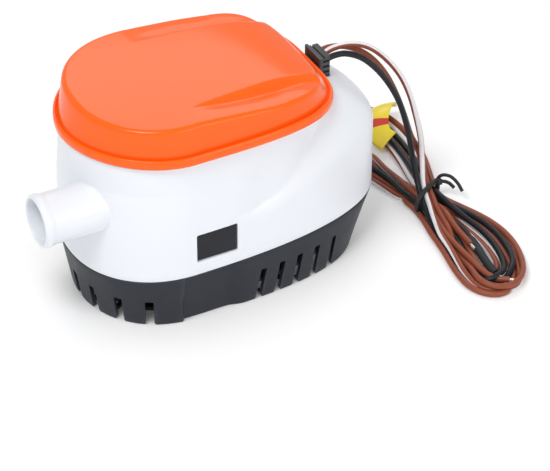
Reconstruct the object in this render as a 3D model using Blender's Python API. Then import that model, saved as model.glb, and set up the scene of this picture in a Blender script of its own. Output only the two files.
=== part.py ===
"""An automatic bilge pump: strainer base, clip-on housing with motor and float switch, cover and leads.

Every separate piece is one object. The numbers at the top are millimetres; the meshes are in metres.
+X runs from the hose spout towards the leads, +Z is up, and the pump stands on Z = 0.
"""

import math

import bmesh
import bpy
from mathutils import Matrix, Vector

MM = 0.001
GAP = 0.3

# Plan outlines: (middle X, reach to the front, reach to the rear, half width, front power, rear power).
BASE_FOOT = (-23.7, 40.1, 92.7, 40.7, 2.11, 3.2)
LOWER_BODY = (-24.8, 43.4, 108.1, 43.5, 2.16, 2.5)
UPPER_BODY = (-26.0, 41.5, 79.0, 42.9, 1.95, 3.6)
FLANGE = (-26.0, 43.1, 81.4, 46.0, 1.87, 3.75)
DOME_FOOT = (-26.0, 40.7, 79.0, 43.6, 1.87, 3.75)
DOME_RIM = (-23.5, 39.2, 67.2, 43.0, 2.15, 5.2)
SIDES = 56

# Heights.
SKIRT_TOP = 26.7
HOUSING_BOTTOM = 27.0
HOUSING_TOP = 88.0
FLANGE_BOTTOM = 88.3
FLANGE_TOP = 92.9
RIM_Z = 106.0
DECK_BOTTOM = 70.0
DECK_TOP = 72.5
WALL = 2.2

# The swept shoulder of the housing, from the latch window up to the strain relief.
SHOULDER_START_X = -5.0
SHOULDER_END_X = 70.0
SHOULDER_LOW = 46.0
SHOULDER_HIGH = 62.0
SHOULDER_DEPTH = 7.0
SHOULDER_RELIEF = 1.0

# The cover's top: a crown that falls to the rear, with a panel between two grooves and ledges.
CROWN_Z = 108.0
CROWN_X = -10.0
FRONT_REACH = 51.0
REAR_REACH = 53.0
FRONT_FALL = 1.6
REAR_FALL = 5.2
SIDE_FALL = 1.2
PANEL_TIP_X = -20.0
PANEL_END_X = 43.0
PANEL_HALF_TIP = 29.5
PANEL_HALF_REAR = 24.0
LEDGE_DEPTH = 3.4
GROOVE_DEPTH = 0.6
RIM_DROP = 0.8

# Spout: it leaves the motor chamber on one side, nearly along the chamber's wall.
SPOUT_MOUTH_X = -89.7
SPOUT_Y = -16.0
SPOUT_Z = 60.5
SPOUT_R = 11.8
SPOUT_BEAD_R = 12.5
SPOUT_BORE_R = 10.4
SPOUT_END_X = -33.5

# Latches: window and tab, the same on both sides.
WINDOW_X = (-25.0, -4.5)
WINDOW_Z = (33.8, 48.6)
TAB_Y = (38.8, 40.6)
TAB_TOP = 49.6
RECESS_X = (-30.6, -3.0)
RECESS_DEPTH = 2.0

# Strainer slots.
FRONT_SLOT_STEP = math.radians(20)
FRONT_SLOT_WIDTH = 4.0
FRONT_SLOT_TOP = 14.5
SIDE_SLOT_X = (7.0, 17.0, 26.8, 36.8, 46.8)
SIDE_SLOT_WIDTH = 3.0
SIDE_SLOT_TOP = 17.0
SIDE_SLOT_LEAN = 2.6
FLOOR_INSET = 10.5
FLOOR_THICK = 2.0

# Pump and motor, all on one vertical axis.
MOTOR_X = -25.0
CHAMBER_R = (27.3, 29.4)
CHAMBER_BOTTOM = 33.0
CAPSULE_R = (20.2, 22.0)
COLLAR_R = 31.0
SCREW_CIRCLE_R = 28.3
CAN_R = (17.3, 18.5)
CAN_Z = (45.8, 80.0)
MAGNET_R = (14.0, 17.0)
CORE_R = 13.0
SHAFT_R = 1.6
BORE_R = 1.9
IMPELLER_R = 15.5

# Float switch.
PIVOT = (16.0, 46.0)
FLOAT_X = (30.3, 64.0)
FLOAT_Z = (36.0, 49.0)
FLOAT_HALF_Y = 16.0
MAGNET_X = 56.0

# Strain relief and leads.
RELIEF_X = (56.0, 60.8)
RELIEF_HALF_Y = 6.2
RELIEF_TOP = 96.8
WIRE_R = 1.45
TIE_PLACE = (114.0, -14.0)
BROWN_ROUTE = (
    (61.6, 3.4, 93.0), (67.0, 3.4, 93.6), (75.0, 3.2, 91.8), (83.0, 3.0, 87.0), (90.5, 3.0, 79.5),
    (97.5, 3.0, 69.0), (103.0, 3.0, 57.0), (107.5, 2.6, 44.0), (111.5, 2.2, 31.0), (116.0, 1.6, 20.5),
    (118.2, 0.2, 14.5), (118.6, -1.2, 11.4),
)
STRIPED_ROUTE = (
    (61.6, 0.0, 93.2), (67.0, 0.0, 95.0), (75.9, 0.0, 94.6), (85.0, 0.0, 90.6), (94.0, 0.0, 82.2),
    (102.4, 0.0, 70.5), (108.2, 0.0, 58.0), (112.3, -0.2, 44.0), (115.0, -0.8, 31.0), (115.4, -2.4, 20.0),
    (114.4, -4.2, 13.6), (114.0, -5.2, 11.4),
)
BLACK_ROUTE = (
    (61.6, -3.4, 92.6), (66.0, -3.5, 93.4), (72.0, -3.7, 92.6), (80.0, -4.0, 88.0), (88.0, -4.0, 79.5),
    (95.0, -4.0, 69.0), (100.6, -4.0, 57.5), (104.6, -4.0, 45.0), (107.6, -4.2, 31.5), (109.4, -4.8, 19.5),
    (109.9, -5.6, 14.0), (110.0, -6.2, 11.4),
)
# Plan of the folded leads on the floor: (Y along the hank, X of the pump side, X of the far side).
HANK_PLAN = (
    (-98.0, 102.0, 112.0), (-94.0, 96.0, 121.0), (-86.0, 93.0, 128.0), (-76.0, 92.4, 131.5), (-62.0, 95.0, 134.0),
    (-45.0, 99.5, 134.0), (-29.0, 104.6, 128.5), (-18.0, 107.4, 121.8), (-10.0, 107.2, 121.6), (0.0, 102.8, 127.0),
    (14.0, 96.0, 132.0), (32.0, 91.5, 134.0), (50.0, 92.0, 134.0), (62.0, 96.0, 131.0), (70.0, 102.0, 125.0),
    (73.0, 107.5, 119.0),
)
HANK_Z = (0.2, 9.6)

COLOURS = {
    "orange": ((0.93, 0.22, 0.04), 0.28, 0.0),
    "white": ((0.80, 0.82, 0.86), 0.32, 0.0),
    "slate": ((0.045, 0.050, 0.060), 0.50, 0.0),
    "black": ((0.015, 0.015, 0.017), 0.55, 0.0),
    "grey_plastic": ((0.32, 0.33, 0.35), 0.50, 0.0),
    "foam": ((0.10, 0.11, 0.13), 0.85, 0.0),
    "steel": ((0.62, 0.63, 0.65), 0.28, 1.0),
    "iron": ((0.26, 0.26, 0.28), 0.45, 1.0),
    "bronze": ((0.52, 0.36, 0.17), 0.40, 1.0),
    "copper": ((0.78, 0.36, 0.18), 0.30, 1.0),
    "ferrite": ((0.08, 0.08, 0.09), 0.60, 0.0),
    "green_board": ((0.03, 0.20, 0.09), 0.50, 0.0),
    "glass": ((0.75, 0.85, 0.82), 0.05, 0.0),
    "brown": ((0.30, 0.085, 0.045), 0.40, 0.0),
    "white_wire": ((0.80, 0.79, 0.80), 0.40, 0.0),
    "yellow": ((0.85, 0.66, 0.03), 0.45, 0.0),
}


def smooth(t):
    """0 below 0, 1 above 1, and a soft step between."""
    t = min(1.0, max(0.0, t))
    return t * t * (3 - 2 * t)


def mix(a, b, t):
    return a + (b - a) * t


# ---------------------------------------------------------------- outlines


def outline_point(shape, angle, inset=0.0):
    """The point of a plan outline in this direction from its middle, moved in by inset."""
    middle, front, rear, half, front_power, rear_power = shape
    c, s = math.cos(angle), math.sin(angle)
    reach, power = (rear, rear_power) if c > 0 else (front, front_power)
    r = (abs(c) / (reach - inset)) ** power + (abs(s) / (half - inset)) ** power
    r = r ** (-1 / power)
    return Vector((middle + r * c, r * s))


def even_angles(shape, count):
    """Directions whose points lie evenly along an outline, starting at the rear."""
    steps = 2880
    points = [outline_point(shape, 2 * math.pi * i / steps) for i in range(steps + 1)]
    along = [0.0]
    for a, b in zip(points, points[1:]):
        along.append(along[-1] + (b - a).length)
    angles, at = [], 0
    for k in range(count):
        while along[at] < along[-1] * k / count - 1e-9:
            at += 1
        angles.append(2 * math.pi * at / steps)
    return angles


def angle_at(shape, x, side):
    """The direction of an outline's point with this X, on the side of Y that side gives."""
    low, high = 0.0, math.pi
    for _ in range(40):
        middle = (low + high) / 2
        low, high = (middle, high) if outline_point(shape, middle).x > x else (low, middle)
    return low if side > 0 else 2 * math.pi - low


ANGLES = even_angles(LOWER_BODY, SIDES)
RECESS_ANGLES = [
    angle_at(LOWER_BODY, x, side) for side in (1, -1) for x in (RECESS_X[0] - 0.5, RECESS_X[0] + 0.5)
]
BASE_ANGLES = sorted(ANGLES + RECESS_ANGLES)


def recess(x):
    """How far the skirt is let in under the latches."""
    start = smooth((x - RECESS_X[0] + 0.5) / 1.0)
    end = smooth((RECESS_X[1] + 3.0 - x) / 9.0)
    return RECESS_DEPTH * start * end


def skirt_point(angle, z, inset=0.0):
    foot = outline_point(BASE_FOOT, angle, inset)
    top = outline_point(LOWER_BODY, angle, inset)
    point = foot.lerp(top, z / SKIRT_TOP)
    if abs(point.y) > 25:
        point.y -= math.copysign(recess(point.x), point.y)
    return point


def housing_point(angle, z, inset=0.0):
    """The housing's wall: the lower outline up to the swept shoulder, the upper one above it."""
    low = outline_point(LOWER_BODY, angle, inset)
    rise = smooth((low.x - SHOULDER_START_X) / (SHOULDER_END_X - SHOULDER_START_X))
    relief = SHOULDER_RELIEF * smooth((low.x - SHOULDER_START_X) / 20)
    high = outline_point(UPPER_BODY, angle, inset + relief)
    start = mix(SHOULDER_LOW, SHOULDER_HIGH, rise)
    end = mix(start + SHOULDER_DEPTH, HOUSING_TOP, rise**3)
    t = min(1.0, max(0.0, (z - start) / (end - start)))
    return low.lerp(high, 1 - (1 - t**1.6) ** 0.625)


def wall_point(angle, z, inset=0.0):
    """The cover's dome wall at a height between its foot and its rim."""
    foot, rim = outline_point(DOME_FOOT, angle, inset), outline_point(DOME_RIM, angle, inset)
    return foot.lerp(rim, (z - FLANGE_TOP) / (RIM_Z - FLANGE_TOP))


def top_height(x, y):
    """The height of the cover's top: the crown, less the ledge beside the panel and the groove between."""
    reach = (x - CROWN_X) / (REAR_REACH if x > CROWN_X else FRONT_REACH)
    along = REAR_FALL * reach**4 if x > CROWN_X else FRONT_FALL * reach**2
    crown = CROWN_Z - along - SIDE_FALL * (y / 42) ** 2
    half = mix(PANEL_HALF_TIP, PANEL_HALF_REAR, (x - PANEL_TIP_X) / (PANEL_END_X - PANEL_TIP_X))
    width = mix(1.6, 4.6, smooth((x - PANEL_TIP_X) / 30))
    beside = smooth((abs(y) - half) / width)
    started = min(1.0, max(0.0, (x - PANEL_TIP_X) / 42))
    ledge = mix(LEDGE_DEPTH, 0.45 * LEDGE_DEPTH, smooth((x - 12) / 30)) * started * beside
    across = (abs(y) - half - width) / (0.4 * width if abs(y) < half + width else 3.2)
    groove = GROOVE_DEPTH * smooth((x - PANEL_TIP_X) / 14) * math.exp(-across * across)
    return crown - ledge - groove


# ---------------------------------------------------------------- mesh makers


def finish_mesh(bm, name):
    bmesh.ops.recalc_face_normals(bm, faces=bm.faces)
    mesh = bpy.data.meshes.new(name)
    bm.to_mesh(mesh)
    bm.free()
    mesh.shade_smooth()
    mesh.set_sharp_from_angle(angle=math.radians(35))
    return mesh


def loft(name, rings, ring_shaped=False):
    """A closed solid through rings of millimetre points; ring_shaped joins the last ring to the first."""
    bm = bmesh.new()
    rows = [[bm.verts.new(Vector(p) * MM) for p in ring] for ring in rings]
    pairs = list(zip(rows, rows[1:]))
    if ring_shaped:
        pairs.append((rows[-1], rows[0]))
    else:
        bm.faces.new(rows[0])
        bm.faces.new(rows[-1])
    for lower, upper in pairs:
        for i in range(len(lower)):
            j = (i + 1) % len(lower)
            bm.faces.new((lower[i], lower[j], upper[j], upper[i]))
    return finish_mesh(bm, name)


def plan_ring(place, z, angles=None):
    """A ring of points at one height; place(angle) gives each one's X and Y."""
    return [(*place(a), z) for a in (angles or ANGLES)]


def turned(name, profile, centre=(0.0, 0.0), sides=32, ring_shaped=True):
    """A solid turned about a vertical axis, from (radius, height) points."""
    rings = []
    for r, z in profile:
        turns = (2 * math.pi * i / sides for i in range(sides))
        rings.append([(centre[0] + r * math.cos(t), centre[1] + r * math.sin(t), z) for t in turns])
    return loft(name, rings, ring_shaped)


def tube_ring(name, inner, outer, low, high, centre, sides=32):
    return turned(name, [(outer, low), (outer, high), (inner, high), (inner, low)], centre, sides)


def disc(name, radius, low, high, centre, sides=32):
    return turned(name, [(radius, low), (radius, high)], centre, sides, ring_shaped=False)


def prism(name, corners, low, high):
    """An upright prism over a plan of corners."""
    return loft(name, [[(x, y, low) for x, y in corners], [(x, y, high) for x, y in corners]])


def block(name, x, y, z):
    """A box from its (low, high) along each axis."""
    corners = ((x[0], y[0]), (x[1], y[0]), (x[1], y[1]), (x[0], y[1]))
    return prism(name, corners, z[0], z[1])


def sweep(name, points, radius, sides=8, closed=False):
    """A tube of this radius along points, with flat ends."""
    places = [Vector(p) for p in points]
    rings, side = [], Vector((0, 1, 0))
    for i, place in enumerate(places):
        after = places[(i + 1) % len(places)] if closed else places[min(i + 1, len(places) - 1)]
        before = places[i - 1] if closed or i else places[0]
        along = (after - before).normalized()
        side = (side - along * side.dot(along)).normalized()
        up = along.cross(side)
        turns = (2 * math.pi * k / sides for k in range(sides))
        rings.append([place + (side * math.cos(t) + up * math.sin(t)) * radius for t in turns])
    return loft(name, rings, closed)


def turned_about(mesh, matrix):
    """The mesh moved by a matrix whose translation is in metres."""
    mesh.transform(matrix)
    return mesh


def lying(mesh, axis, place):
    """A mesh turned about Z at the origin, laid along X or Y and moved to a millimetre place."""
    turn = Matrix.Rotation(math.radians(90), 4, "Y" if axis == "X" else "X")
    return turned_about(mesh, Matrix.Translation(Vector(place) * MM) @ turn)


# ---------------------------------------------------------------- scene helpers


def clear_scene():
    for obj in list(bpy.data.objects):
        bpy.data.objects.remove(obj, do_unlink=True)


def material(name):
    colour, roughness, metallic = COLOURS[name]
    made = bpy.data.materials.get(name) or bpy.data.materials.new(name)
    made.use_nodes = True
    made.diffuse_color = (*colour, 1)
    shader = made.node_tree.nodes["Principled BSDF"]
    shader.inputs["Base Color"].default_value = (*colour, 1)
    shader.inputs["Roughness"].default_value = roughness
    shader.inputs["Metallic"].default_value = metallic
    return made


def joint_frame(name, place):
    """An empty on a joint's axis, which the moving pieces are parented to."""
    empty = bpy.data.objects.new(name, None)
    empty.location = Vector(place) * MM
    bpy.context.scene.collection.objects.link(empty)
    return empty


def add(name, mesh, colour, frame=None):
    """One piece, in its own material, with its origin on its joint's axis."""
    obj = bpy.data.objects.new(name, mesh)
    mesh.name = name
    mesh.materials.append(material(colour))
    bpy.context.scene.collection.objects.link(obj)
    if frame:
        mesh.transform(Matrix.Translation(-frame.location))
        obj.parent = frame
    return obj


def helper(mesh):
    obj = bpy.data.objects.new("helper_" + mesh.name, mesh)
    obj.hide_render = True
    obj.display_type = "WIRE"
    bpy.context.scene.collection.objects.link(obj)
    return obj


def combine(obj, operation, *meshes):
    for mesh in meshes:
        modifier = obj.modifiers.new(mesh.name, "BOOLEAN")
        modifier.operation = operation
        modifier.solver = "EXACT"
        modifier.object = helper(mesh)


def cut(obj, *meshes):
    combine(obj, "DIFFERENCE", *meshes)


def unite(obj, *meshes):
    combine(obj, "UNION", *meshes)


# ---------------------------------------------------------------- strainer base


def floor_spoke(name, angle):
    """A flat spoke that ties the floor plate to the skirt."""
    inner, outer = outline_point(BASE_FOOT, angle, FLOOR_INSET + 1), skirt_point(angle, 0, 1.1)
    side = (outer - inner).orthogonal().normalized() * 0.9
    corners = [inner - side, outer - side, outer + side, inner + side]
    return prism(name, corners, 0.0, FLOOR_THICK)


def front_slot(name, angle):
    along = Vector((math.cos(angle), math.sin(angle)))
    side = along.orthogonal() * FRONT_SLOT_WIDTH / 2
    middle = Vector((MOTOR_X, 0))
    near, far = middle + along * 30.6, middle + along * 52
    corners = [near - side, far - side, far + side, near + side]
    return prism(name, corners, -1.0, FRONT_SLOT_TOP)


def side_slot(name, x, side):
    """A slot in the skirt's side, which leans to the rear as it rises."""
    half, low, high = SIDE_SLOT_WIDTH / 2, -1.0, SIDE_SLOT_TOP
    near = 29.0 if x > 40 else 31.0
    rings = []
    for z in (low, high):
        middle = x + SIDE_SLOT_LEAN * z / SIDE_SLOT_TOP
        corners = ((middle - half, near), (middle + half, near), (middle + half, 52), (middle - half, 52))
        rings.append([(a, side * b, z) for a, b in corners])
    return loft(name, rings)


def make_strainer_base():
    levels = (0.0, 9.0, 18.0, SKIRT_TOP)
    outside = [plan_ring(lambda a: skirt_point(a, z), z, BASE_ANGLES) for z in levels]
    inside = [plan_ring(lambda a: skirt_point(a, z, WALL), z, BASE_ANGLES) for z in reversed(levels)]
    base = add("strainer_base", loft("skirt", outside + inside, ring_shaped=True), "slate")

    steps = ((1.6, 25.2), (1.6, 26.4), (2.6, 26.4), (2.6, 31.0), (4.4, 31.0), (4.4, 25.2))
    collar = [plan_ring(lambda a: outline_point(LOWER_BODY, a, inset), z) for inset, z in steps]
    unite(base, loft("collar", collar, ring_shaped=True))

    plate = [plan_ring(lambda a: outline_point(BASE_FOOT, a, FLOOR_INSET), z) for z in (0.0, FLOOR_THICK)]
    unite(base, loft("floor_plate", plate))
    for k in (-5, -3, -1, 1, 3, 5):
        unite(base, floor_spoke(f"front_spoke_{k}", math.pi + k * FRONT_SLOT_STEP / 2))
    for side in (1, -1):
        for x in (-8.0, 12.0, 32.0):
            unite(base, floor_spoke(f"side_spoke_{x:.0f}_{side}", angle_at(BASE_FOOT, x, side)))
    unite(base, floor_spoke("rear_spoke", 0.0))

    for k in range(-3, 4):
        cut(base, front_slot(f"front_slot_{k}", math.pi + k * FRONT_SLOT_STEP))
    for side in (1, -1):
        for x in SIDE_SLOT_X:
            cut(base, side_slot(f"side_slot_{x:.0f}_{side}", x, side))
        notch = (min(38 * side, 41.6 * side), max(38 * side, 41.6 * side))
        cut(base, block(f"latch_notch_{side}", (-28.0, -1.5), notch, (SKIRT_TOP, 33)))


def make_latch(name, side):
    """A tab on the strainer base that fills the housing's window; it flexes inwards at its root."""
    middle_y = side * (TAB_Y[0] + TAB_Y[1]) / 2
    frame = joint_frame(name + "_axis", (0, middle_y, SKIRT_TOP + GAP / 2))
    y = sorted((side * TAB_Y[0], side * TAB_Y[1]))
    tab = block(name, (-26.6, -2.9), y, (SKIRT_TOP + GAP, TAB_TOP))
    add(name, tab, "black", frame)


# ---------------------------------------------------------------- housing and cover


def make_housing(frame):
    levels = (HOUSING_BOTTOM, 36, 42, 46, 49, 52, 55, 58, 62, 66, 70, 74, 78, 82, 85, 86.8, HOUSING_TOP)
    outside = [plan_ring(lambda a: housing_point(a, z), z) for z in levels]
    housing = add("pump_housing", loft("housing", outside), "white", frame)

    wet = (HOUSING_BOTTOM - 1, 44, 49, 54, 60, 65, DECK_BOTTOM)
    cut(housing, loft("wet_space", [plan_ring(lambda a: housing_point(a, z, WALL), z) for z in wet]))
    dry = [plan_ring(lambda a: housing_point(a, z, WALL), z) for z in (DECK_TOP, 76, 80)]
    steps = ((3.6, 82.0), (3.6, 85.5), (1.3, 85.5), (1.3, HOUSING_TOP + 1))
    dry += [plan_ring(lambda a: outline_point(UPPER_BODY, a, inset), z) for inset, z in steps]
    cut(housing, loft("dry_space", dry))

    axis = (MOTOR_X, 0.0)
    chamber = (CHAMBER_BOTTOM, DECK_BOTTOM + 0.5)
    unite(housing, tube_ring("chamber_wall", CHAMBER_R[0], CHAMBER_R[1], *chamber, axis, 48))
    for k, place in enumerate(screw_places()):
        unite(housing, disc(f"screw_boss_{k}", 3.4, 62.0, DECK_TOP - 1, place, 16))
    for side in (1, -1):
        y = sorted((side * 13.5, side * 16.0))
        unite(housing, block(f"pivot_lug_{side}", (11.0, 21.0), y, (41.0, DECK_BOTTOM + 1)))
    for k, x in enumerate((26.0, 48.0)):
        unite(housing, disc(f"board_post_{k}", 2.2, DECK_TOP - 0.5, 74.7, (x, 0.0), 12))

    lip = SPOUT_MOUTH_X
    profile = (
        (SPOUT_BEAD_R - 0.9, lip), (SPOUT_BEAD_R, lip + 1.4), (SPOUT_BEAD_R, lip + 3.2),
        (SPOUT_R, lip + 5.0), (SPOUT_R, SPOUT_END_X),
    )
    tube = turned("spout", profile, ring_shaped=False)
    unite(housing, lying(tube, "X", (0, SPOUT_Y, SPOUT_Z)))
    bore = disc("spout_bore", SPOUT_BORE_R, lip - 1, SPOUT_END_X + 1, (0, 0))
    cut(housing, lying(bore, "X", (0, SPOUT_Y, SPOUT_Z)))
    cut(housing, disc("chamber_space", CHAMBER_R[0], 44.0, DECK_BOTTOM, axis, 48))

    cut(housing, disc("capsule_hole", CAPSULE_R[1] + GAP, DECK_BOTTOM - 1, DECK_TOP + 1, axis, 48))
    for k, place in enumerate(screw_places()):
        cut(housing, disc(f"screw_hole_{k}", 1.5, 63.5, DECK_TOP + 1, place, 12))
    pin_hole = disc("pin_hole", 1.8, -20, 20, (0, 0), 16)
    cut(housing, lying(pin_hole, "Y", (PIVOT[0], 0, PIVOT[1])))
    for side in (1, -1):
        y = sorted((side * 36.0, side * 48.0))
        cut(housing, block(f"latch_window_{side}", WINDOW_X, y, WINDOW_Z))
    y = (-RELIEF_HALF_Y - 1.6, RELIEF_HALF_Y + 1.6)
    cut(housing, block("relief_pocket", (RELIEF_X[0] - 0.4, RELIEF_X[1] + 0.4), y, (79.5, 96)))


def cover_rings(depth):
    """Rings from the middle of the cover's top down its dome wall; depth moves them inwards."""
    rings = []
    rim = []
    for a in ANGLES:
        edge = wall_point(a, RIM_Z, depth)
        for _ in range(3):
            z = top_height(edge.x, edge.y) - RIM_DROP
            edge = wall_point(a, z, depth)
        rim.append((*edge, z - depth))
    middle = Vector((-10.0, 0.0))
    for share in (0.04, 0.26, 0.46, 0.6, 0.68, 0.76, 0.84, 0.92, 0.98):
        ring = []
        for x, y, _ in rim:
            place = middle.lerp(Vector((x, y)), share)
            ring.append((*place, top_height(place.x, place.y) - depth))
        rings.append(ring)
    rings.append(rim)
    for share in (0.35, 0.7):
        ring = []
        for a, (_, _, rim_z) in zip(ANGLES, rim):
            z = mix(rim_z + depth, FLANGE_TOP, share)
            ring.append((*wall_point(a, z, depth), z - depth))
        rings.append(ring)
    return rings


def make_cover(frame):
    def flange(inset, z):
        return plan_ring(lambda a: outline_point(FLANGE, a, inset), z)

    def lip(inset, z):
        return plan_ring(lambda a: outline_point(UPPER_BODY, a, inset), z)

    rings = cover_rings(0.0)
    rings.append(plan_ring(lambda a: outline_point(DOME_FOOT, a), FLANGE_TOP))
    rings += [flange(1.0, FLANGE_TOP), flange(0.0, FLANGE_TOP - 1), flange(0.0, FLANGE_BOTTOM + 0.5)]
    rings += [flange(0.5, FLANGE_BOTTOM), lip(1.6, FLANGE_BOTTOM), lip(1.6, 87.7), lip(4.2, 87.7)]
    rings.append(lip(4.2, FLANGE_TOP - WALL))
    rings += list(reversed(cover_rings(WALL)))
    add("top_cover", loft("cover", rings), "orange", frame)

    steps = ((1.6, 85.8), (1.6, 87.4), (3.4, 87.4), (3.4, 85.8))
    seal = [plan_ring(lambda a: outline_point(UPPER_BODY, a, inset), z) for inset, z in steps]
    add("cover_gasket", loft("gasket", seal, ring_shaped=True), "black", frame)


# ---------------------------------------------------------------- pump and motor


def screw_places():
    """The three capsule screws, round the motor's axis."""
    turns = (math.radians(60 + 120 * k) for k in range(3))
    return [(MOTOR_X + SCREW_CIRCLE_R * math.cos(t), SCREW_CIRCLE_R * math.sin(t)) for t in turns]


def make_capsule(frame):
    axis = (MOTOR_X, 0.0)
    inlet = [(9.0, 30.4), (31.0, 30.4), (31.0, 32.7), (27.0, 32.7), (27.0, 36.0), (25.2, 36.0), (25.2, 32.7),
             (9.0, 32.7)]
    add("inlet_plate", turned("inlet_plate", inlet, axis, 48), "grey_plastic", frame)

    inner, outer = CAPSULE_R
    profile = [(4.0, 43.0), (outer, 43.0), (outer, 74.2), (COLLAR_R, 74.2), (COLLAR_R, 76.2), (inner, 76.2),
               (inner, 45.2), (4.0, 45.2)]
    capsule = add("motor_capsule", turned("capsule", profile, axis, 48), "grey_plastic", frame)
    for k, place in enumerate(screw_places()):
        cut(capsule, disc(f"collar_hole_{k}", 1.7, 73, 78, place, 12))
    add("capsule_seal", tube_ring("capsule_seal", 22.6, 24.4, 72.8, 73.9, axis, 40), "black", frame)
    add("shaft_seal", tube_ring("shaft_seal", BORE_R, 3.7, 43.2, 45.0, axis, 20), "black", frame)

    head = [(0.4, 66.0), (1.2, 67.2), (1.2, 76.5), (2.7, 76.5), (2.7, 77.4), (1.9, 78.2)]
    for k, place in enumerate(screw_places()):
        screw = turned("screw", head, place, 12, ring_shaped=False)
        add(f"capsule_screw_{k + 1}", screw, "steel", frame)


def make_motor(frame):
    axis = (MOTOR_X, 0.0)
    can = [(4.3, CAN_Z[0]), (CAN_R[1], CAN_Z[0]), (CAN_R[1], CAN_Z[1]), (CAN_R[0], CAN_Z[1]),
           (CAN_R[0], CAN_Z[0] + 1.2), (4.3, CAN_Z[0] + 1.2)]
    add("motor_can", turned("can", can, axis, 40), "steel", frame)
    add("lower_bearing", tube_ring("lower_bearing", BORE_R, 4.0, 45.9, 49.6, axis, 20), "bronze", frame)
    add("upper_bearing", tube_ring("upper_bearing", BORE_R, 4.0, 80.4, 84.6, axis, 20), "bronze", frame)

    end_cap = add("motor_end_cap", tube_ring("end_cap", 4.3, CAN_R[1], 80.3, 83.3, axis, 40), "black", frame)
    for side in (1, -1):
        x = sorted((MOTOR_X + side * 5.6, MOTOR_X + side * 12.0))
        unite(end_cap, block(f"brush_holder_{side}", x, (-3.4, 3.4), (75.2, 81.0)))
    for side in (1, -1):
        x = sorted((MOTOR_X + side * 4.0, MOTOR_X + side * 10.0))
        cut(end_cap, block(f"brush_channel_{side}", x, (-2.3, 2.3), (75.8, 79.4)))
    for word, side in (("left", -1), ("right", 1)):
        x = sorted((MOTOR_X + side * 4.8, MOTOR_X + side * 9.6))
        add(f"brush_{word}", block("brush", x, (-2.0, 2.0), (76.1, 79.1)), "ferrite", frame)

    for word, middle in (("left", math.pi), ("right", 0.0)):
        turns = [middle + math.radians(-66 + 11 * i) for i in range(13)]
        arcs = [[(MOTOR_X + r * math.cos(t), r * math.sin(t)) for t in turns] for r in MAGNET_R]
        magnet = prism("magnet", arcs[0] + arcs[1][::-1], 52.0, 75.0)
        add(f"magnet_{word}", magnet, "ferrite", frame)


def make_rotor(frame):
    axis = (MOTOR_X, 0.0)
    profile = [(1.2, 33.8), (SHAFT_R, 34.2), (SHAFT_R, 85.6), (1.2, 86.0)]
    add("motor_shaft", turned("shaft", profile, axis, 16, ring_shaped=False), "steel", frame)

    hub = disc("core_hub", 5.4, 55.0, 72.0, axis, 20)
    core = add("armature_core", hub, "iron", frame)
    coils = add("armature_windings", disc("windings", 10.6, 52.4, 74.4, axis, 30), "copper", frame)
    for k in range(5):
        turn = math.radians(72 * k)
        neck = [(4.0, -1.5), (11.6, -1.5), (11.6, 1.5), (4.0, 1.5)]
        shoe = [(r * math.cos(math.radians(t)), r * math.sin(math.radians(t)))
                for r, t in ((11.0, -31), (13.0, -31), (13.0, -16), (13.0, 0), (13.0, 16), (13.0, 31),
                             (11.0, 31), (11.0, 0))]
        for part, plan in (("neck", neck), ("shoe", shoe)):
            unite(core, prism(f"{part}_{k}", spun(plan, turn), 55.0, 72.0))
        wide_neck = [(3.6, -1.8), (12.0, -1.8), (12.0, 1.8), (3.6, 1.8)]
        cut(coils, prism(f"wide_neck_{k}", spun(wide_neck, turn), 54.7, 72.3))
    cut(core, disc("core_bore", BORE_R, 50, 80, axis, 16))
    cut(coils, disc("wide_hub", 5.7, 54.7, 72.3, axis, 20), disc("winding_bore", BORE_R, 50, 80, axis, 16))

    add("commutator", tube_ring("commutator", BORE_R, 4.5, 74.8, 79.8, axis, 24), "copper", frame)

    impeller = add("impeller", disc("impeller_hub", 4.6, 34.4, 41.4, axis, 24), "grey_plastic", frame)
    unite(impeller, disc("shroud", IMPELLER_R, 39.8, 41.2, axis, 36))
    for k in range(6):
        blade = [(3.6, -0.6), (8.0, 0.4), (12.0, 2.2), (14.9, 4.4), (14.3, 5.4), (11.4, 3.4), (7.6, 1.6),
                 (3.6, 0.6)]
        unite(impeller, prism(f"blade_{k}", spun(blade, math.radians(60 * k)), 34.8, 40.4))
    cut(impeller, disc("impeller_bore", BORE_R, 33, 43, axis, 16))


def spun(plan, turn):
    """A plan about the motor's axis, turned."""
    c, s = math.cos(turn), math.sin(turn)
    return [(MOTOR_X + x * c - y * s, x * s + y * c) for x, y in plan]


# ---------------------------------------------------------------- float switch


def make_float(frame):
    x, z = PIVOT
    arm_boss = lying(disc("arm_boss", 3.8, -12.9, 12.9, (0, 0), 20), "Y", (x, 0, z))
    arm = add("float_arm", arm_boss, "grey_plastic", frame)
    unite(arm, block("arm_plate", (x + 1.0, 29.0), (-9.0, 9.0), (z - 1.4, z + 1.4)))
    unite(arm, block("arm_pad", (28.0, FLOAT_X[0] - GAP), (-12.0, 12.0), (39.0, 48.0)))
    cut(arm, lying(disc("arm_bore", 1.8, -14, 14, (0, 0), 16), "Y", (x, 0, z)))

    body = block("float", FLOAT_X, (-FLOAT_HALF_Y, FLOAT_HALF_Y), FLOAT_Z)
    float_block = add("float", body, "foam", frame)
    bevel = float_block.modifiers.new("rounded", "BEVEL")
    bevel.width = 2.5 * MM
    bevel.segments = 2
    cut(float_block, disc("magnet_pocket", 3.3, 44.6, 50, (MAGNET_X, 0), 20))
    add("float_magnet", disc("float_magnet", 3.0, 45.0, 48.6, (MAGNET_X, 0), 20), "ferrite", frame)


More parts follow.
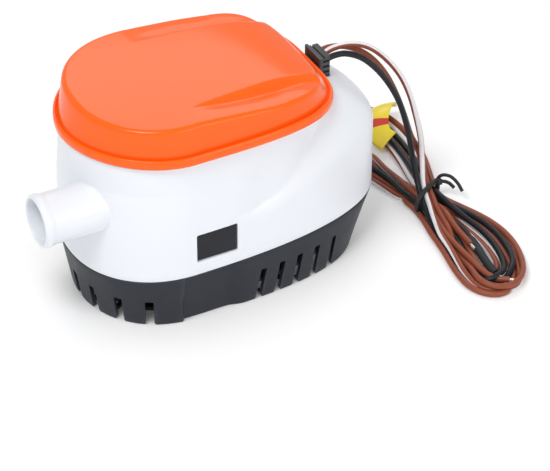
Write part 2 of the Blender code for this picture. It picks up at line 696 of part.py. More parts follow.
def make_switch(frame):
    x, z = PIVOT
    profile = [(2.6, -18.6), (2.6, -16.4), (1.5, -16.4), (1.5, 17.6), (1.1, 18.2)]
    pin = turned("pin", profile, (0, 0), 16, ring_shaped=False)
    add("float_pin", lying(pin, "Y", (x, 0, z)), "steel", frame)
    add("switch_board", block("board", (22.0, 52.0), (-14.0, 14.0), (75.0, 76.6)), "green_board", frame)
    reed = disc("reed", 1.3, -7.0, 7.0, (0, 0), 12)
    add("reed_switch", lying(reed, "Y", (55.5, 0, 74.15)), "glass", frame)
    for k, side in enumerate((1, -1)):
        route = ((MOTOR_X + 10, 7 * side, 84.6), (MOTOR_X + 14, 8 * side, 86.5), (MOTOR_X + 22, 9 * side, 86.0),
                 (9.0, 10 * side, 82.0), (17.0, 10 * side, 79.0), (24.0, 10 * side, 78.0), (28.0, 10 * side, 77.9))
        add(f"motor_lead_{k + 1}", sweep("lead", route, 0.9, 6), "brown" if side > 0 else "black", frame)


# ---------------------------------------------------------------- strain relief and leads


def make_strain_relief(frame):
    y = (-RELIEF_HALF_Y, RELIEF_HALF_Y)
    relief = add("strain_relief", block("relief", RELIEF_X, y, (80.0, RELIEF_TOP)), "black", frame)
    wide = (-RELIEF_HALF_Y - 1.2, RELIEF_HALF_Y + 1.2)
    unite(relief, block("relief_collar", (RELIEF_X[0] + 0.1, 57.6), wide, (86.5, RELIEF_TOP + 0.4)))


def curve_points(route, count):
    """Points along a smooth curve through a route, evenly spread over its stretches."""
    places = [Vector(p) for p in route]
    places = [places[0] * 2 - places[1], *places, places[-1] * 2 - places[-2]]
    points = []
    for i in range(count):
        at = (len(route) - 1) * i / (count - 1)
        k = min(int(at), len(route) - 2)
        t = at - k
        a, b, c, d = places[k : k + 4]
        points.append(
            0.5 * (2 * b + (c - a) * t + (2 * a - 5 * b + 4 * c - d) * t**2 + (3 * b - a - 3 * c + d) * t**3)
        )
    return points


def make_wire(name, route, colour, frame):
    """The stretch of a lead from the strain relief to the hank."""
    curve = bpy.data.curves.new(name, "CURVE")
    curve.dimensions = "3D"
    curve.bevel_depth = WIRE_R * MM
    curve.bevel_resolution = 2
    curve.use_fill_caps = True
    spline = curve.splines.new("POLY")
    points = curve_points(route, 26)
    spline.points.add(len(points) - 1)
    for slot, place in zip(spline.points, points):
        slot.co = (*(place * MM), 1)
    curve.materials.append(material(colour))
    obj = bpy.data.objects.new(name, curve)
    bpy.context.scene.collection.objects.link(obj)
    obj.parent = frame


def tie_loop(count=24):
    """The tie's path round the hank's waist, as a rounded rectangle across it."""
    half, low, high = 7.6, 1.9, 8.2
    points = []
    for i in range(count):
        turn = 2 * math.pi * i / count
        c, s = math.cos(turn), math.sin(turn)
        across = half * math.copysign(abs(c) ** 0.6, c)
        up = (low + high) / 2 + (high - low) / 2 * math.copysign(abs(s) ** 0.6, s)
        points.append((TIE_PLACE[0] + across, TIE_PLACE[1], up))
    return points


def make_hank():
    left = [(near, y) for y, near, _ in HANK_PLAN]
    right = [(far, y) for y, _, far in reversed(HANK_PLAN)]
    hank = add("wire_hank", prism("hank", left + right, *HANK_Z), "brown")
    y = (TIE_PLACE[1] - 1.9, TIE_PLACE[1] + 1.9)
    for side in (1, -1):
        x = sorted((TIE_PLACE[0] + side * 5.7, TIE_PLACE[0] + side * 12.0))
        cut(hank, block(f"waist_{side}", x, y, (-1, 12)))
    x = (TIE_PLACE[0] - 12, TIE_PLACE[0] + 12)
    cut(hank, block("waist_below", x, y, (-1, 3.6)), block("waist_above", x, y, (6.5, 12)))
    tie = add("wire_tie", sweep("tie", tie_loop(), 1.1, 6, closed=True), "black")
    tail = ((118.0, -14.0, 9.4), (120.5, -13.6, 12.5), (123.4, -14.5, 15.6), (126.0, -17.5, 15.8), (127.4, -21.5, 12.8))
    unite(tie, sweep("tie_tail", tail, 1.2, 6))
    tag = block("tag", (-10.5, 10.5), (-15.0, 15.0), (-1.0, 1.0))
    turn = Matrix.Rotation(math.radians(-20), 4, "X") @ Matrix.Rotation(math.radians(-32), 4, "Y")
    add("wire_tag", turned_about(tag, Matrix.Translation(Vector((119, 42, 21)) * MM) @ turn), "yellow")


def main():
    clear_scene()
    pump = joint_frame("pump_lift_axis", (0, 0, 0))
    rotor = joint_frame("rotor_axis", (MOTOR_X, 0, 0))
    float_pivot = joint_frame("float_axis", (PIVOT[0], 0, PIVOT[1]))
    make_strainer_base()
    make_latch("latch_tab_near", -1)
    make_latch("latch_tab_far", 1)
    make_housing(pump)
    make_cover(pump)
    make_capsule(pump)
    make_motor(pump)
    make_rotor(rotor)
    make_float(float_pivot)
    make_switch(pump)
    make_strain_relief(pump)
    make_wire("brown_wire", BROWN_ROUTE, "brown", pump)
    make_wire("striped_wire", STRIPED_ROUTE, "white_wire", pump)
    make_wire("black_wire", BLACK_ROUTE, "black", pump)
    make_hank()
    bpy.context.view_layer.update()


main()
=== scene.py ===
"""The looks of an automatic bilge pump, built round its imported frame.

The outlines, routes and sizes at the top are millimetres in the frame's own axes: +X from the spout
to the leads, +Z up, standing on Z = 0. Every mesh is in metres.
"""

import math

import bmesh
import bpy
import numpy as np
from mathutils import Matrix, Vector


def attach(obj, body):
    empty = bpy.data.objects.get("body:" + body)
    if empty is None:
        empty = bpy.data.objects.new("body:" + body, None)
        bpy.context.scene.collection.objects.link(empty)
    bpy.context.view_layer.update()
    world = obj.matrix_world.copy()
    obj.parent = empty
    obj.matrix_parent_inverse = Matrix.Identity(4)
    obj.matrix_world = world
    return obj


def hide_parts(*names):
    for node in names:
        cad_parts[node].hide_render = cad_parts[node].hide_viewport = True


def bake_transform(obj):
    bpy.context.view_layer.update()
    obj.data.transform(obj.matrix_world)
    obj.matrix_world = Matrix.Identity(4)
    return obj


MM = 0.001

# Plan outlines: (middle X, reach to the front, reach to the rear, half width, front power, rear power).
BASE_FOOT = (-23.7, 40.1, 92.7, 40.7, 2.11, 3.2)
LOWER_BODY = (-24.8, 43.4, 108.1, 43.5, 2.16, 2.5)
UPPER_BODY = (-26.0, 41.5, 79.0, 42.9, 1.95, 3.6)
FLANGE = (-26.0, 43.1, 81.4, 46.0, 1.87, 3.75)
DOME_FOOT = (-26.0, 40.7, 79.0, 43.6, 1.87, 3.75)
DOME_RIM = (-23.5, 39.2, 67.2, 43.0, 2.15, 5.2)

SKIRT_TOP = 26.7
HOUSING_BOTTOM = 27.0
HOUSING_TOP = 88.0
FLANGE_BOTTOM = 88.3
FLANGE_TOP = 92.9
RIM_Z = 106.0
DECK_BOTTOM = 70.0
DECK_TOP = 72.5
WALL = 2.2

SHOULDER_START_X = -5.0
SHOULDER_END_X = 70.0
SHOULDER_LOW = 46.0
SHOULDER_HIGH = 62.0
SHOULDER_DEPTH = 4.5
SHOULDER_BLEND = 26.0
SHOULDER_RELIEF = 1.0
SHOULDER_VALLEY = 1.1

# The cover's top: a crown that falls to the rear, with a panel between two grooves and ledges.
CROWN_Z = 108.0
CROWN_X = -10.0
FRONT_REACH = 51.0
REAR_REACH = 53.0
FRONT_FALL = 1.6
REAR_FALL = 5.2
SIDE_FALL = 1.2
PANEL_TIP_X = -20.0
PANEL_END_X = 43.0
PANEL_HALF_TIP = 29.5
PANEL_HALF_REAR = 24.0
LEDGE_DEPTH = 3.4
GROOVE_DEPTH = 0.6

MOTOR_X = -25.0
SPOUT_MOUTH_X = -89.7
SPOUT_Y = -16.0
SPOUT_Z = 60.5
SPOUT_R = 11.8
SPOUT_BEAD_R = 12.5
SPOUT_BORE_R = 10.4
SPOUT_END_X = -33.5
SPOUT_SEAM_X = -62.5
CHAMBER_R = (27.3, 29.4)
CHAMBER_BOTTOM = 33.0
SCREW_CIRCLE_R = 28.3
SCREW_BOSS_R = 3.4
SCREW_BOSS_BOTTOM = 62.0
CAPSULE_HOLE_R = 22.3

WINDOW_X = (-25.0, -4.5)
WINDOW_Z = (33.8, 48.6)
TAB_X = (-26.6, -2.9)
TAB_Y = (38.8, 40.6)
TAB_TOP = 49.6
PAD_Y = 42.7
PAD_GAP = 0.35
NOTCH_X = (-28.0, -1.5)
NOTCH_Y = (38.0, 41.6)
NOTCH_TOP = 33.0
RECESS_X = (-30.6, -3.0)
RECESS_DEPTH = 2.0

# The slots run out from these distances to SLOT_END; the front ones fan round the motor's axis.
SLOT_END = 52.0
FRONT_SLOT_START = 30.6
SIDE_SLOT_START = 31.0
LAST_SLOT_START = 29.0
TOOTH_ROUND = 1.7
FRONT_SLOT_STEP = math.radians(20)
FRONT_SLOT_WIDTH = 4.0
FRONT_SLOT_TOP = 14.5
SIDE_SLOT_X = (7.0, 17.0, 26.8, 36.8, 46.8)
SIDE_SLOT_WIDTH = 3.0
SIDE_SLOT_TOP = 17.0
SIDE_SLOT_LEAN = 2.6
FLOOR_INSET = 10.5
FLOOR_THICK = 2.0

# The float's pivot (X, Z), its pin's hole and the lugs that hold the pin.
PIVOT = (16.0, 46.0)
PIN_HOLE_R = 1.8
LUG_HALF_X = 5.0
LUG_Y = (13.5, 16.0)
LUG_BOTTOM = 41.0

RELIEF_X = (56.0, 62.2)
RELIEF_HALF_Y = 6.2
RELIEF_BOTTOM = 85.0
RELIEF_TOP = 95.6
RELIEF_GROOVES = (87.4, 90.2, 93.0)
GROOVE_WIDTH = 1.1
POCKET_GAP = 0.4

# Leads: the stretch from the strain relief down to the tie, as in the CAD.
WIRE_R = 1.45
BROWN_ROUTE = (
    (61.6, 3.4, 93.0), (67.0, 3.4, 93.6), (75.0, 3.2, 91.8), (83.0, 3.0, 87.0), (90.5, 3.0, 79.5),
    (97.5, 3.0, 69.0), (103.0, 3.0, 57.0), (107.5, 2.6, 44.0), (111.5, 2.2, 31.0), (116.0, 1.6, 20.5),
)
STRIPED_ROUTE = (
    (61.6, 0.0, 93.2), (67.0, 0.0, 95.0), (75.9, 0.0, 94.6), (85.0, 0.0, 90.6), (94.0, 0.0, 82.2),
    (102.4, 0.0, 70.5), (108.2, 0.0, 58.0), (112.3, -0.2, 44.0), (115.0, -0.8, 31.0), (115.4, -2.4, 20.0),
)
BLACK_ROUTE = (
    (61.6, -3.4, 92.6), (66.0, -3.5, 93.4), (72.0, -3.7, 92.6), (80.0, -4.0, 88.0), (88.0, -4.0, 79.5),
    (95.0, -4.0, 69.0), (100.6, -4.0, 57.5), (104.6, -4.0, 45.0), (107.6, -4.2, 31.5), (109.4, -4.8, 19.5),
)

# The tie holds the hank here; the tie runs across it in the direction of TIE_ALONG.
TIE_MIDDLE = Vector((112.0, -14.0))
TIE_ALONG = Vector((math.cos(math.radians(30)), math.sin(math.radians(30))))
# The outer edge of each lobe of the hank, from one side of the tie round to the other.
FRONT_LOBE = (
    (102.5, -30.0), (98.3, -50.0), (93.6, -72.0), (94.6, -88.0), (102.5, -97.0), (113.0, -96.6),
    (123.0, -88.5), (129.4, -75.0), (133.2, -56.0), (131.6, -38.0), (125.5, -24.0),
)
REAR_LOBE = (
    (122.5, -4.0), (129.0, 12.0), (133.0, 32.0), (133.6, 54.0), (129.6, 70.0), (119.0, 77.0),
    (106.0, 74.5), (97.0, 63.0), (93.0, 43.0), (94.5, 22.0), (100.5, 2.0),
)


# ---------------- shapes shared with the frame


def smooth(t):
    t = min(1.0, max(0.0, t))
    return t * t * (3 - 2 * t)


def mix(a, b, t):
    return a + (b - a) * t


def outline_point(shape, angle, inset=0.0):
    """The point of a plan outline in this direction from its middle, moved in by inset."""
    middle, front, rear, half, front_power, rear_power = shape
    c, s = math.cos(angle), math.sin(angle)
    reach, power = (rear, rear_power) if c > 0 else (front, front_power)
    r = (abs(c) / (reach - inset)) ** power + (abs(s) / (half - inset)) ** power
    r = r ** (-1 / power)
    return Vector((middle + r * c, r * s))


def even_angles(shape, count):
    """Directions whose points lie evenly along an outline, starting at the rear."""
    steps = 5760
    points = [outline_point(shape, math.tau * i / steps) for i in range(steps + 1)]
    along = [0.0]
    for a, b in zip(points, points[1:]):
        along.append(along[-1] + (b - a).length)
    angles, at = [], 0
    for k in range(count):
        while along[at] < along[-1] * k / count - 1e-9:
            at += 1
        angles.append(math.tau * at / steps)
    return angles


def angle_at(shape, x, side):
    """The direction of an outline's point with this X, on the side of Y that side gives."""
    low, high = 0.0, math.pi
    for _ in range(40):
        middle = (low + high) / 2
        low, high = (middle, high) if outline_point(shape, middle).x > x else (low, middle)
    return low if side > 0 else math.tau - low


ANGLES = even_angles(LOWER_BODY, 168)


def recess(x):
    """How far the skirt is let in under the latches."""
    start = smooth((x - RECESS_X[0] + 0.5) / 1.0)
    end = smooth((RECESS_X[1] + 3.0 - x) / 9.0)
    return RECESS_DEPTH * start * end


def skirt_point(angle, z, inset=0.0):
    foot = outline_point(BASE_FOOT, angle, inset)
    top = outline_point(LOWER_BODY, angle, inset)
    point = foot.lerp(top, z / SKIRT_TOP)
    if abs(point.y) > 25:
        point.y -= math.copysign(recess(point.x), point.y)
    return point


def housing_point(angle, z, inset=0.0):
    """The housing's wall: the lower outline up to the swept shoulder, the upper one above it."""
    low = outline_point(LOWER_BODY, angle, inset)
    rise = smooth((low.x - SHOULDER_START_X) / (SHOULDER_END_X - SHOULDER_START_X))
    relief = SHOULDER_RELIEF * smooth((low.x - SHOULDER_START_X) / 20)
    valley = SHOULDER_VALLEY * smooth((low.x - SHOULDER_START_X) / 20) * (1 - smooth((z - 70) / 14))
    high = outline_point(UPPER_BODY, angle, inset + relief + valley)
    start = mix(SHOULDER_LOW, SHOULDER_HIGH, rise)
    depth = mix(SHOULDER_BLEND, SHOULDER_DEPTH, smooth((low.x + 30) / 36))
    end = mix(start + depth, HOUSING_TOP, rise**3)
    t = min(1.0, max(0.0, (z - start) / (end - start)))
    return low.lerp(high, 1 - (1 - t**1.6) ** 0.625)


def wall_point(angle, z, inset=0.0):
    """The cover's dome wall at a height between its foot and its rim."""
    foot, rim = outline_point(DOME_FOOT, angle, inset), outline_point(DOME_RIM, angle, inset)
    return foot.lerp(rim, (z - FLANGE_TOP) / (RIM_Z - FLANGE_TOP))


def top_height(x, y):
    """The height of the cover's top: the crown, less the ledge beside the panel and the groove between."""
    reach = (x - CROWN_X) / (REAR_REACH if x > CROWN_X else FRONT_REACH)
    along = REAR_FALL * reach**4 if x > CROWN_X else FRONT_FALL * reach**2
    crown = CROWN_Z - along - SIDE_FALL * (y / 42) ** 2
    half = mix(PANEL_HALF_TIP, PANEL_HALF_REAR, (x - PANEL_TIP_X) / (PANEL_END_X - PANEL_TIP_X))
    width = mix(1.6, 4.6, smooth((x - PANEL_TIP_X) / 30))
    beside = smooth((abs(y) - half) / width)
    started = min(1.0, max(0.0, (x - PANEL_TIP_X) / 42))
    ledge = mix(LEDGE_DEPTH, 0.45 * LEDGE_DEPTH, smooth((x - 12) / 30)) * started * beside
    across = (abs(y) - half - width) / (0.4 * width if abs(y) < half + width else 3.2)
    groove = GROOVE_DEPTH * smooth((x - PANEL_TIP_X) / 14) * math.exp(-across * across)
    return crown - ledge - groove


# ---------------- mesh makers


def finish_mesh(bm, name, sharp=35):
    bmesh.ops.recalc_face_normals(bm, faces=bm.faces)
    mesh = bpy.data.meshes.new(name)
    bm.to_mesh(mesh)
    bm.free()
    mesh.shade_smooth()
    mesh.set_sharp_from_angle(angle=math.radians(sharp))
    return mesh


def loft(name, rings, ring_shaped=False, sharp=35):
    """A closed solid through rings of millimetre points; ring_shaped joins the last ring to the first."""
    bm = bmesh.new()
    rows = [[bm.verts.new(Vector(p) * MM) for p in ring] for ring in rings]
    pairs = list(zip(rows, rows[1:]))
    if ring_shaped:
        pairs.append((rows[-1], rows[0]))
    else:
        bm.faces.new(rows[0])
        bm.faces.new(rows[-1])
    for lower, upper in pairs:
        for i in range(len(lower)):
            j = (i + 1) % len(lower)
            bm.faces.new((lower[i], lower[j], upper[j], upper[i]))
    return finish_mesh(bm, name, sharp)


def wall_ring(wall, z, inset=0.0, angles=ANGLES):
    """A ring of points at one height of a wall; wall(angle, z, inset) gives each one's X and Y."""
    return [(*wall(a, z, inset), z) for a in angles]


def outline_ring(shape, z, inset=0.0, angles=ANGLES):
    """A ring of points at one height, along a plan outline."""
    return [(*outline_point(shape, a, inset), z) for a in angles]


def turned(name, profile, centre=(0.0, 0.0), sides=64, ring_shaped=True):
    """A solid turned about a vertical axis, from (radius, height) points."""
    rings = []
    for r, z in profile:
        turns = (math.tau * i / sides for i in range(sides))
        rings.append([(centre[0] + r * math.cos(t), centre[1] + r * math.sin(t), z) for t in turns])
    return loft(name, rings, ring_shaped)


def tube_ring(name, inner, outer, low, high, centre, sides=64):
    return turned(name, [(outer, low), (outer, high), (inner, high), (inner, low)], centre, sides)


def disc(name, radius, low, high, centre, sides=32):
    return turned(name, [(radius, low), (radius, high)], centre, sides, ring_shaped=False)


def prism(name, corners, low, high):
    """An upright prism over a plan of corners."""
    return loft(name, [[(x, y, low) for x, y in corners], [(x, y, high) for x, y in corners]])


def block(name, x, y, z):
    """A box from its (low, high) along each axis."""
    corners = ((x[0], y[0]), (x[1], y[0]), (x[1], y[1]), (x[0], y[1]))
    return prism(name, corners, z[0], z[1])


def rounded_plan(x, y, radius, steps=5):
    """The corners of a rectangle with rounded corners."""
    points = []
    for k, (cx, cy) in enumerate(((x[1], y[1]), (x[0], y[1]), (x[0], y[0]), (x[1], y[0]))):
        middle = (cx - math.copysign(radius, cx - sum(x) / 2), cy - math.copysign(radius, cy - sum(y) / 2))
        for i in range(steps + 1):
            turn = math.radians(90 * (k + i / steps))
            points.append((middle[0] + radius * math.cos(turn), middle[1] + radius * math.sin(turn)))
    return points


def on_side(side, near, far):
    """The (low, high) in Y of what lies this near to and far from the middle, on one side."""
    return sorted((side * near, side * far))


def slab(name, plan, y):
    """A solid over an outline in X and Z, between two values of Y."""
    return loft(name, [[(x, end, z) for x, z in plan] for end in y])


def joined(name, meshes):
    """One smooth mesh made of several."""
    bm = bmesh.new()
    for mesh in meshes:
        bm.from_mesh(mesh)
    whole = bpy.data.meshes.new(name)
    bm.to_mesh(whole)
    bm.free()
    whole.shade_smooth()
    return whole


def lying(mesh, axis, place):
    """A mesh turned about Z at the origin, laid along X or Y and moved to a millimetre place."""
    turn = Matrix.Rotation(math.radians(90), 4, "Y" if axis == "X" else "X")
    mesh.transform(Matrix.Translation(Vector(place) * MM) @ turn)
    return mesh


# ---------------- materials


class Graph:
    """A material's nodes, made with short calls."""

    def __init__(self, name, colour, roughness, metallic=0.0, **sockets):
        self.material = bpy.data.materials.new(name)
        self.material.use_nodes = True
        self.nodes = self.material.node_tree.nodes
        self.links = self.material.node_tree.links
        self.shader = self.nodes["Principled BSDF"]
        self.shader.inputs["Base Color"].default_value = (*colour, 1)
        self.shader.inputs["Roughness"].default_value = roughness
        self.shader.inputs["Metallic"].default_value = metallic
        for socket, value in sockets.items():
            self.shader.inputs[socket.replace("_", " ")].default_value = value
        self.place = self.nodes.new("ShaderNodeTexCoord").outputs["Object"]
        self.height = None

    def node(self, kind, **values):
        made = self.nodes.new(kind)
        for key, value in values.items():
            setattr(made, key, value)
        return made

    def stretched(self, scale):
        """The object's coordinates, stretched by (x, y, z)."""
        mapping = self.node("ShaderNodeMapping")
        mapping.inputs["Scale"].default_value = scale
        self.links.new(self.place, mapping.inputs["Vector"])
        return mapping.outputs["Vector"]

    def noise(self, size_mm, detail=2.0, place=None):
        """Noise from 0 to 1 whose blotches are about this many millimetres across."""
        made = self.node("ShaderNodeTexNoise")
        made.inputs["Scale"].default_value = 1000.0 / size_mm
        made.inputs["Detail"].default_value = detail
        self.links.new(place or self.place, made.inputs["Vector"])
        return made.outputs["Fac"]

    def ranged(self, value, low, high, start=0.3, end=0.7):
        """A value from start to end turned into one from low to high."""
        made = self.node("ShaderNodeMapRange")
        made.inputs["From Min"].default_value = start
        made.inputs["From Max"].default_value = end
        made.inputs["To Min"].default_value = low
        made.inputs["To Max"].default_value = high
        self.links.new(value, made.inputs["Value"])
        return made.outputs["Result"]

    def blend(self, factor, a, b):
        """Colour a where factor is 0 and b where it is 1; each is a colour or a socket."""
        made = self.node("ShaderNodeMix", data_type="RGBA")
        self.links.new(factor, made.inputs["Factor"])
        for key, value in (("A", a), ("B", b)):
            socket = [s for s in made.inputs if s.name == key and s.type == "RGBA"][0]
            if isinstance(value, tuple):
                socket.default_value = (*value, 1)
            else:
                self.links.new(value, socket)
        return [s for s in made.outputs if s.type == "RGBA"][0]

    def map_u(self):
        """U of the map on leads and label: round a lead, along the label."""
        place = self.node("ShaderNodeUVMap", uv_map="lead").outputs["UV"]
        split = self.node("ShaderNodeSeparateXYZ")
        self.links.new(place, split.inputs["Vector"])
        return split.outputs["X"]

    def band(self, value, start, end, edge):
        """1 where a value lies between start and end, 0 elsewhere; each edge is this wide."""
        rise = self.ranged(value, 0, 1, start, start + edge)
        fall = self.ranged(value, 1, 0, end, end + edge)
        made = self.node("ShaderNodeMath", operation="MULTIPLY")
        self.links.new(rise, made.inputs[0])
        self.links.new(fall, made.inputs[1])
        return made.outputs[0]

    def paint(self, socket):
        self.links.new(socket, self.shader.inputs["Base Color"])

    def rough(self, socket):
        self.links.new(socket, self.shader.inputs["Roughness"])

    def bump(self, height, depth_mm):
        """Adds relief of this depth on top of what is there."""
        made = self.node("ShaderNodeBump")
        made.inputs["Strength"].default_value = 1.0
        made.inputs["Distance"].default_value = depth_mm * MM
        self.links.new(height, made.inputs["Height"])
        if self.height:
            self.links.new(self.height, made.inputs["Normal"])
        self.height = made.outputs["Normal"]
        self.links.new(self.height, self.shader.inputs["Normal"])


def tint(colour, factor):
    return tuple(min(1.0, c * factor) for c in colour)


def moulded(name, colour, roughness, grain_mm, grain_depth, mottle=0.03, swing=0.05, wear=None, **sockets):
    """Moulded plastic: faint colour mottle, uneven gloss and one bump grain of the given size."""
    g = Graph(name, colour, roughness, **sockets)
    shade = g.blend(g.noise(22, 3), tint(colour, 1 - mottle), tint(colour, 1 + mottle))
    if wear:
        edge = g.ranged(g.node("ShaderNodeNewGeometry").outputs["Pointiness"], 0, 1, 0.52, 0.62)
        shade = g.blend(edge, shade, wear)
    g.paint(shade)
    g.rough(g.ranged(g.noise(9, 4), roughness - swing, roughness + swing))
    g.bump(g.noise(grain_mm, 2), grain_depth)
    return g.material


def metal(name, colour, roughness, stretch=(1, 1, 1), grain_mm=0.8, depth=0.01):
    """Bare or plated metal with directional marks."""
    g = Graph(name, colour, roughness, metallic=1.0)
    lines = g.noise(grain_mm, 3, g.stretched(stretch))
    g.paint(g.blend(g.noise(6, 3), tint(colour, 0.88), tint(colour, 1.08)))
    g.rough(g.ranged(lines, roughness - 0.08, roughness + 0.12))
    g.bump(lines, depth)
    return g.material


def insulation(name, colour, stripe=None, roughness=0.36):
    """Soft extruded insulation; UV runs round (U) and along (V) the lead, and a stripe follows U."""
    g = Graph(name, colour, roughness, Specular_IOR_Level=0.3)
    shade = g.blend(g.noise(5, 3), tint(colour, 0.86), tint(colour, 1.12))
    if stripe:
        ragged = g.node("ShaderNodeMath", operation="MULTIPLY_ADD")
        g.links.new(g.noise(2.5, 2), ragged.inputs[0])
        ragged.inputs[1].default_value = 0.02
        g.links.new(g.map_u(), ragged.inputs[2])
        shade = g.blend(g.band(ragged.outputs[0], 0.365, 0.655, 0.01), shade, stripe)
    g.paint(shade)
    g.rough(g.ranged(g.noise(3, 3), roughness - 0.06, roughness + 0.1))
    g.bump(g.noise(1.1, 2), 0.02)
    return g.material


ORANGE = (0.97, 0.125, 0.006)
WHITE = (0.795, 0.82, 0.865)
SLATE = (0.018, 0.021, 0.029)
BLACK = (0.014, 0.015, 0.018)
GREY = (0.30, 0.31, 0.33)
BROWN = (0.27, 0.068, 0.034)
STRIPE = (0.80, 0.78, 0.80)
YELLOW = (0.80, 0.62, 0.02)
RED = (0.55, 0.03, 0.02)
WORN = (0.05, 0.055, 0.07)
WORN_BLACK = (0.05, 0.05, 0.055)


def make_materials():
    """Every finish, by the short name that add() takes."""
    return {
        "orange": moulded(
            "orange_plastic", ORANGE, 0.24, 9.0, 0.003, mottle=0.015, swing=0.02,
            Coat_Weight=0.4, Coat_Roughness=0.15, Specular_IOR_Level=0.1,
        ),
        "white": moulded(
            "white_plastic", WHITE, 0.3, 9.0, 0.003, mottle=0.006, swing=0.02, Specular_IOR_Level=0.4
        ),
        "slate": moulded(
            "slate_plastic", SLATE, 0.46, 0.45, 0.02, mottle=0.12, wear=WORN, Specular_IOR_Level=0.3
        ),
        "black": moulded("black_plastic", BLACK, 0.46, 0.5, 0.02, mottle=0.2, wear=WORN_BLACK),
        "tab": moulded(
            "tab_plastic", (0.022, 0.023, 0.028), 0.6, 0.4, 0.02, mottle=0.15, Specular_IOR_Level=0.2
        ),
        "grey": moulded("grey_plastic", GREY, 0.45, 0.6, 0.02, mottle=0.06),
        "rubber": moulded("black_rubber", BLACK, 0.62, 0.5, 0.03, mottle=0.2),
        "foam": moulded("closed_cell_foam", (0.06, 0.065, 0.075), 0.85, 0.7, 0.25, mottle=0.3, swing=0.08),
        "board": moulded("circuit_board", (0.03, 0.20, 0.09), 0.35, 0.6, 0.02, mottle=0.2),
        "ferrite": moulded("ferrite", (0.07, 0.07, 0.08), 0.6, 0.5, 0.05, mottle=0.2),
        "glass": moulded(
            "reed_glass", (0.72, 0.84, 0.80), 0.08, 2.0, 0.004, swing=0.03, Transmission_Weight=0.7
        ),
        "steel": metal("zinc_steel", (0.62, 0.63, 0.65), 0.28),
        "bright": metal("stainless", (0.66, 0.67, 0.69), 0.2, (1, 1, 0.1)),
        "iron": metal("laminations", (0.30, 0.30, 0.32), 0.45, (0.05, 0.05, 1.0), 0.6, 0.06),
        "bronze": metal("sintered_bronze", (0.52, 0.36, 0.17), 0.42),
        "copper": metal("enamelled_copper", (0.80, 0.34, 0.16), 0.28, (0.1, 0.1, 1.0), 0.6, 0.08),
        "tinned": metal("tinned_copper", (0.78, 0.76, 0.72), 0.25, (1, 1, 1), 0.5, 0.05),
        "brown": insulation("brown_insulation", BROWN),
        "striped": insulation("striped_insulation", BROWN, STRIPE),
        "black_wire": insulation("black_insulation", (0.010, 0.011, 0.015), roughness=0.38),
    }


M = {}


# ---------------- scene helpers


def add(name, mesh, finish, body=None, nodes=()):
    """A piece with its material, riding on a body and standing for CAD nodes."""
    obj = bpy.data.objects.new(name, mesh)
    mesh.name = name
    mesh.materials.clear()
    mesh.materials.append(M[finish])
    bpy.context.scene.collection.objects.link(obj)
    if body:
        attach(obj, body)
    if nodes:
        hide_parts(*nodes)
    return obj


def combine(obj, operation, meshes):
    """Adds meshes to obj or cuts them from it, one by one and for good."""
    for mesh in meshes:
        tool = bpy.data.objects.new("tool", mesh)
        bpy.context.scene.collection.objects.link(tool)
        modifier = obj.modifiers.new("shape", "BOOLEAN")
        modifier.operation = operation
        modifier.solver = "EXACT"
        modifier.object = tool
        bpy.context.view_layer.update()
        shaped = bpy.data.meshes.new_from_object(obj.evaluated_get(bpy.context.evaluated_depsgraph_get()))
        obj.modifiers.clear()
        obj.data = shaped
        bpy.data.objects.remove(tool)


def cut(obj, *meshes):
    combine(obj, "DIFFERENCE", meshes)


def unite(obj, *meshes):
    combine(obj, "UNION", meshes)


def soften(obj, width_mm, segments=2, angle=38):
    """Rounds the piece's sharp edges."""
    bevel = obj.modifiers.new("soft_edges", "BEVEL")
    bevel.width = width_mm * MM
    bevel.segments = segments
    bevel.limit_method = "ANGLE"
    bevel.angle_limit = math.radians(angle)
    bevel.use_clamp_overlap = True


# ---------------- camera, light and floor

TARGET = Vector((37.0, 0.0, -1.1))
AZIMUTH = math.radians(-27.82)
ELEVATION = math.radians(36.6)
DISTANCE = 1250.6
LENS = 172.918
SENSOR = 36.0

FLOOR_REACH = 6.0
WORLD_STRENGTH = 0.56
# Lamps: name, place, what it points at, size in metres and power in watts.
LAMPS = (
    ("key", (-0.55, -0.35, 1.15), (0.0, 0.0, 0.05), (0.55, 0.35), 7.6),
    ("rear", (0.55, 0.85, 0.9), (0.0, 0.0, 0.05), (1.0, 0.5), 3.0),
    ("side", (0.35, -1.05, 0.45), (0.0, 0.0, 0.04), (0.7, 0.5), 3.0),
)


def make_camera():
    level = math.cos(ELEVATION)
    back = Vector((math.sin(AZIMUTH) * level, -math.cos(AZIMUTH) * level, math.sin(ELEVATION)))
    data = bpy.data.cameras.new("camera")
    data.sensor_width = SENSOR
    data.lens = LENS
    data.clip_end = 20
    camera = bpy.data.objects.new("camera", data)
    camera.location = (TARGET + back * DISTANCE) * MM
    camera.rotation_euler = (-back).to_track_quat("-Z", "Y").to_euler()
    bpy.context.scene.collection.objects.link(camera)
    bpy.context.scene.camera = camera


def area_light(name, place, towards, size, power):
    data = bpy.data.lights.new(name, "AREA")
    data.shape = "RECTANGLE"
    data.size, data.size_y = size
    data.energy = power
    lamp = bpy.data.objects.new(name, data)
    lamp.location = place
    lamp.rotation_euler = (Vector(towards) - Vector(place)).to_track_quat("-Z", "Y").to_euler()
    bpy.context.scene.collection.objects.link(lamp)


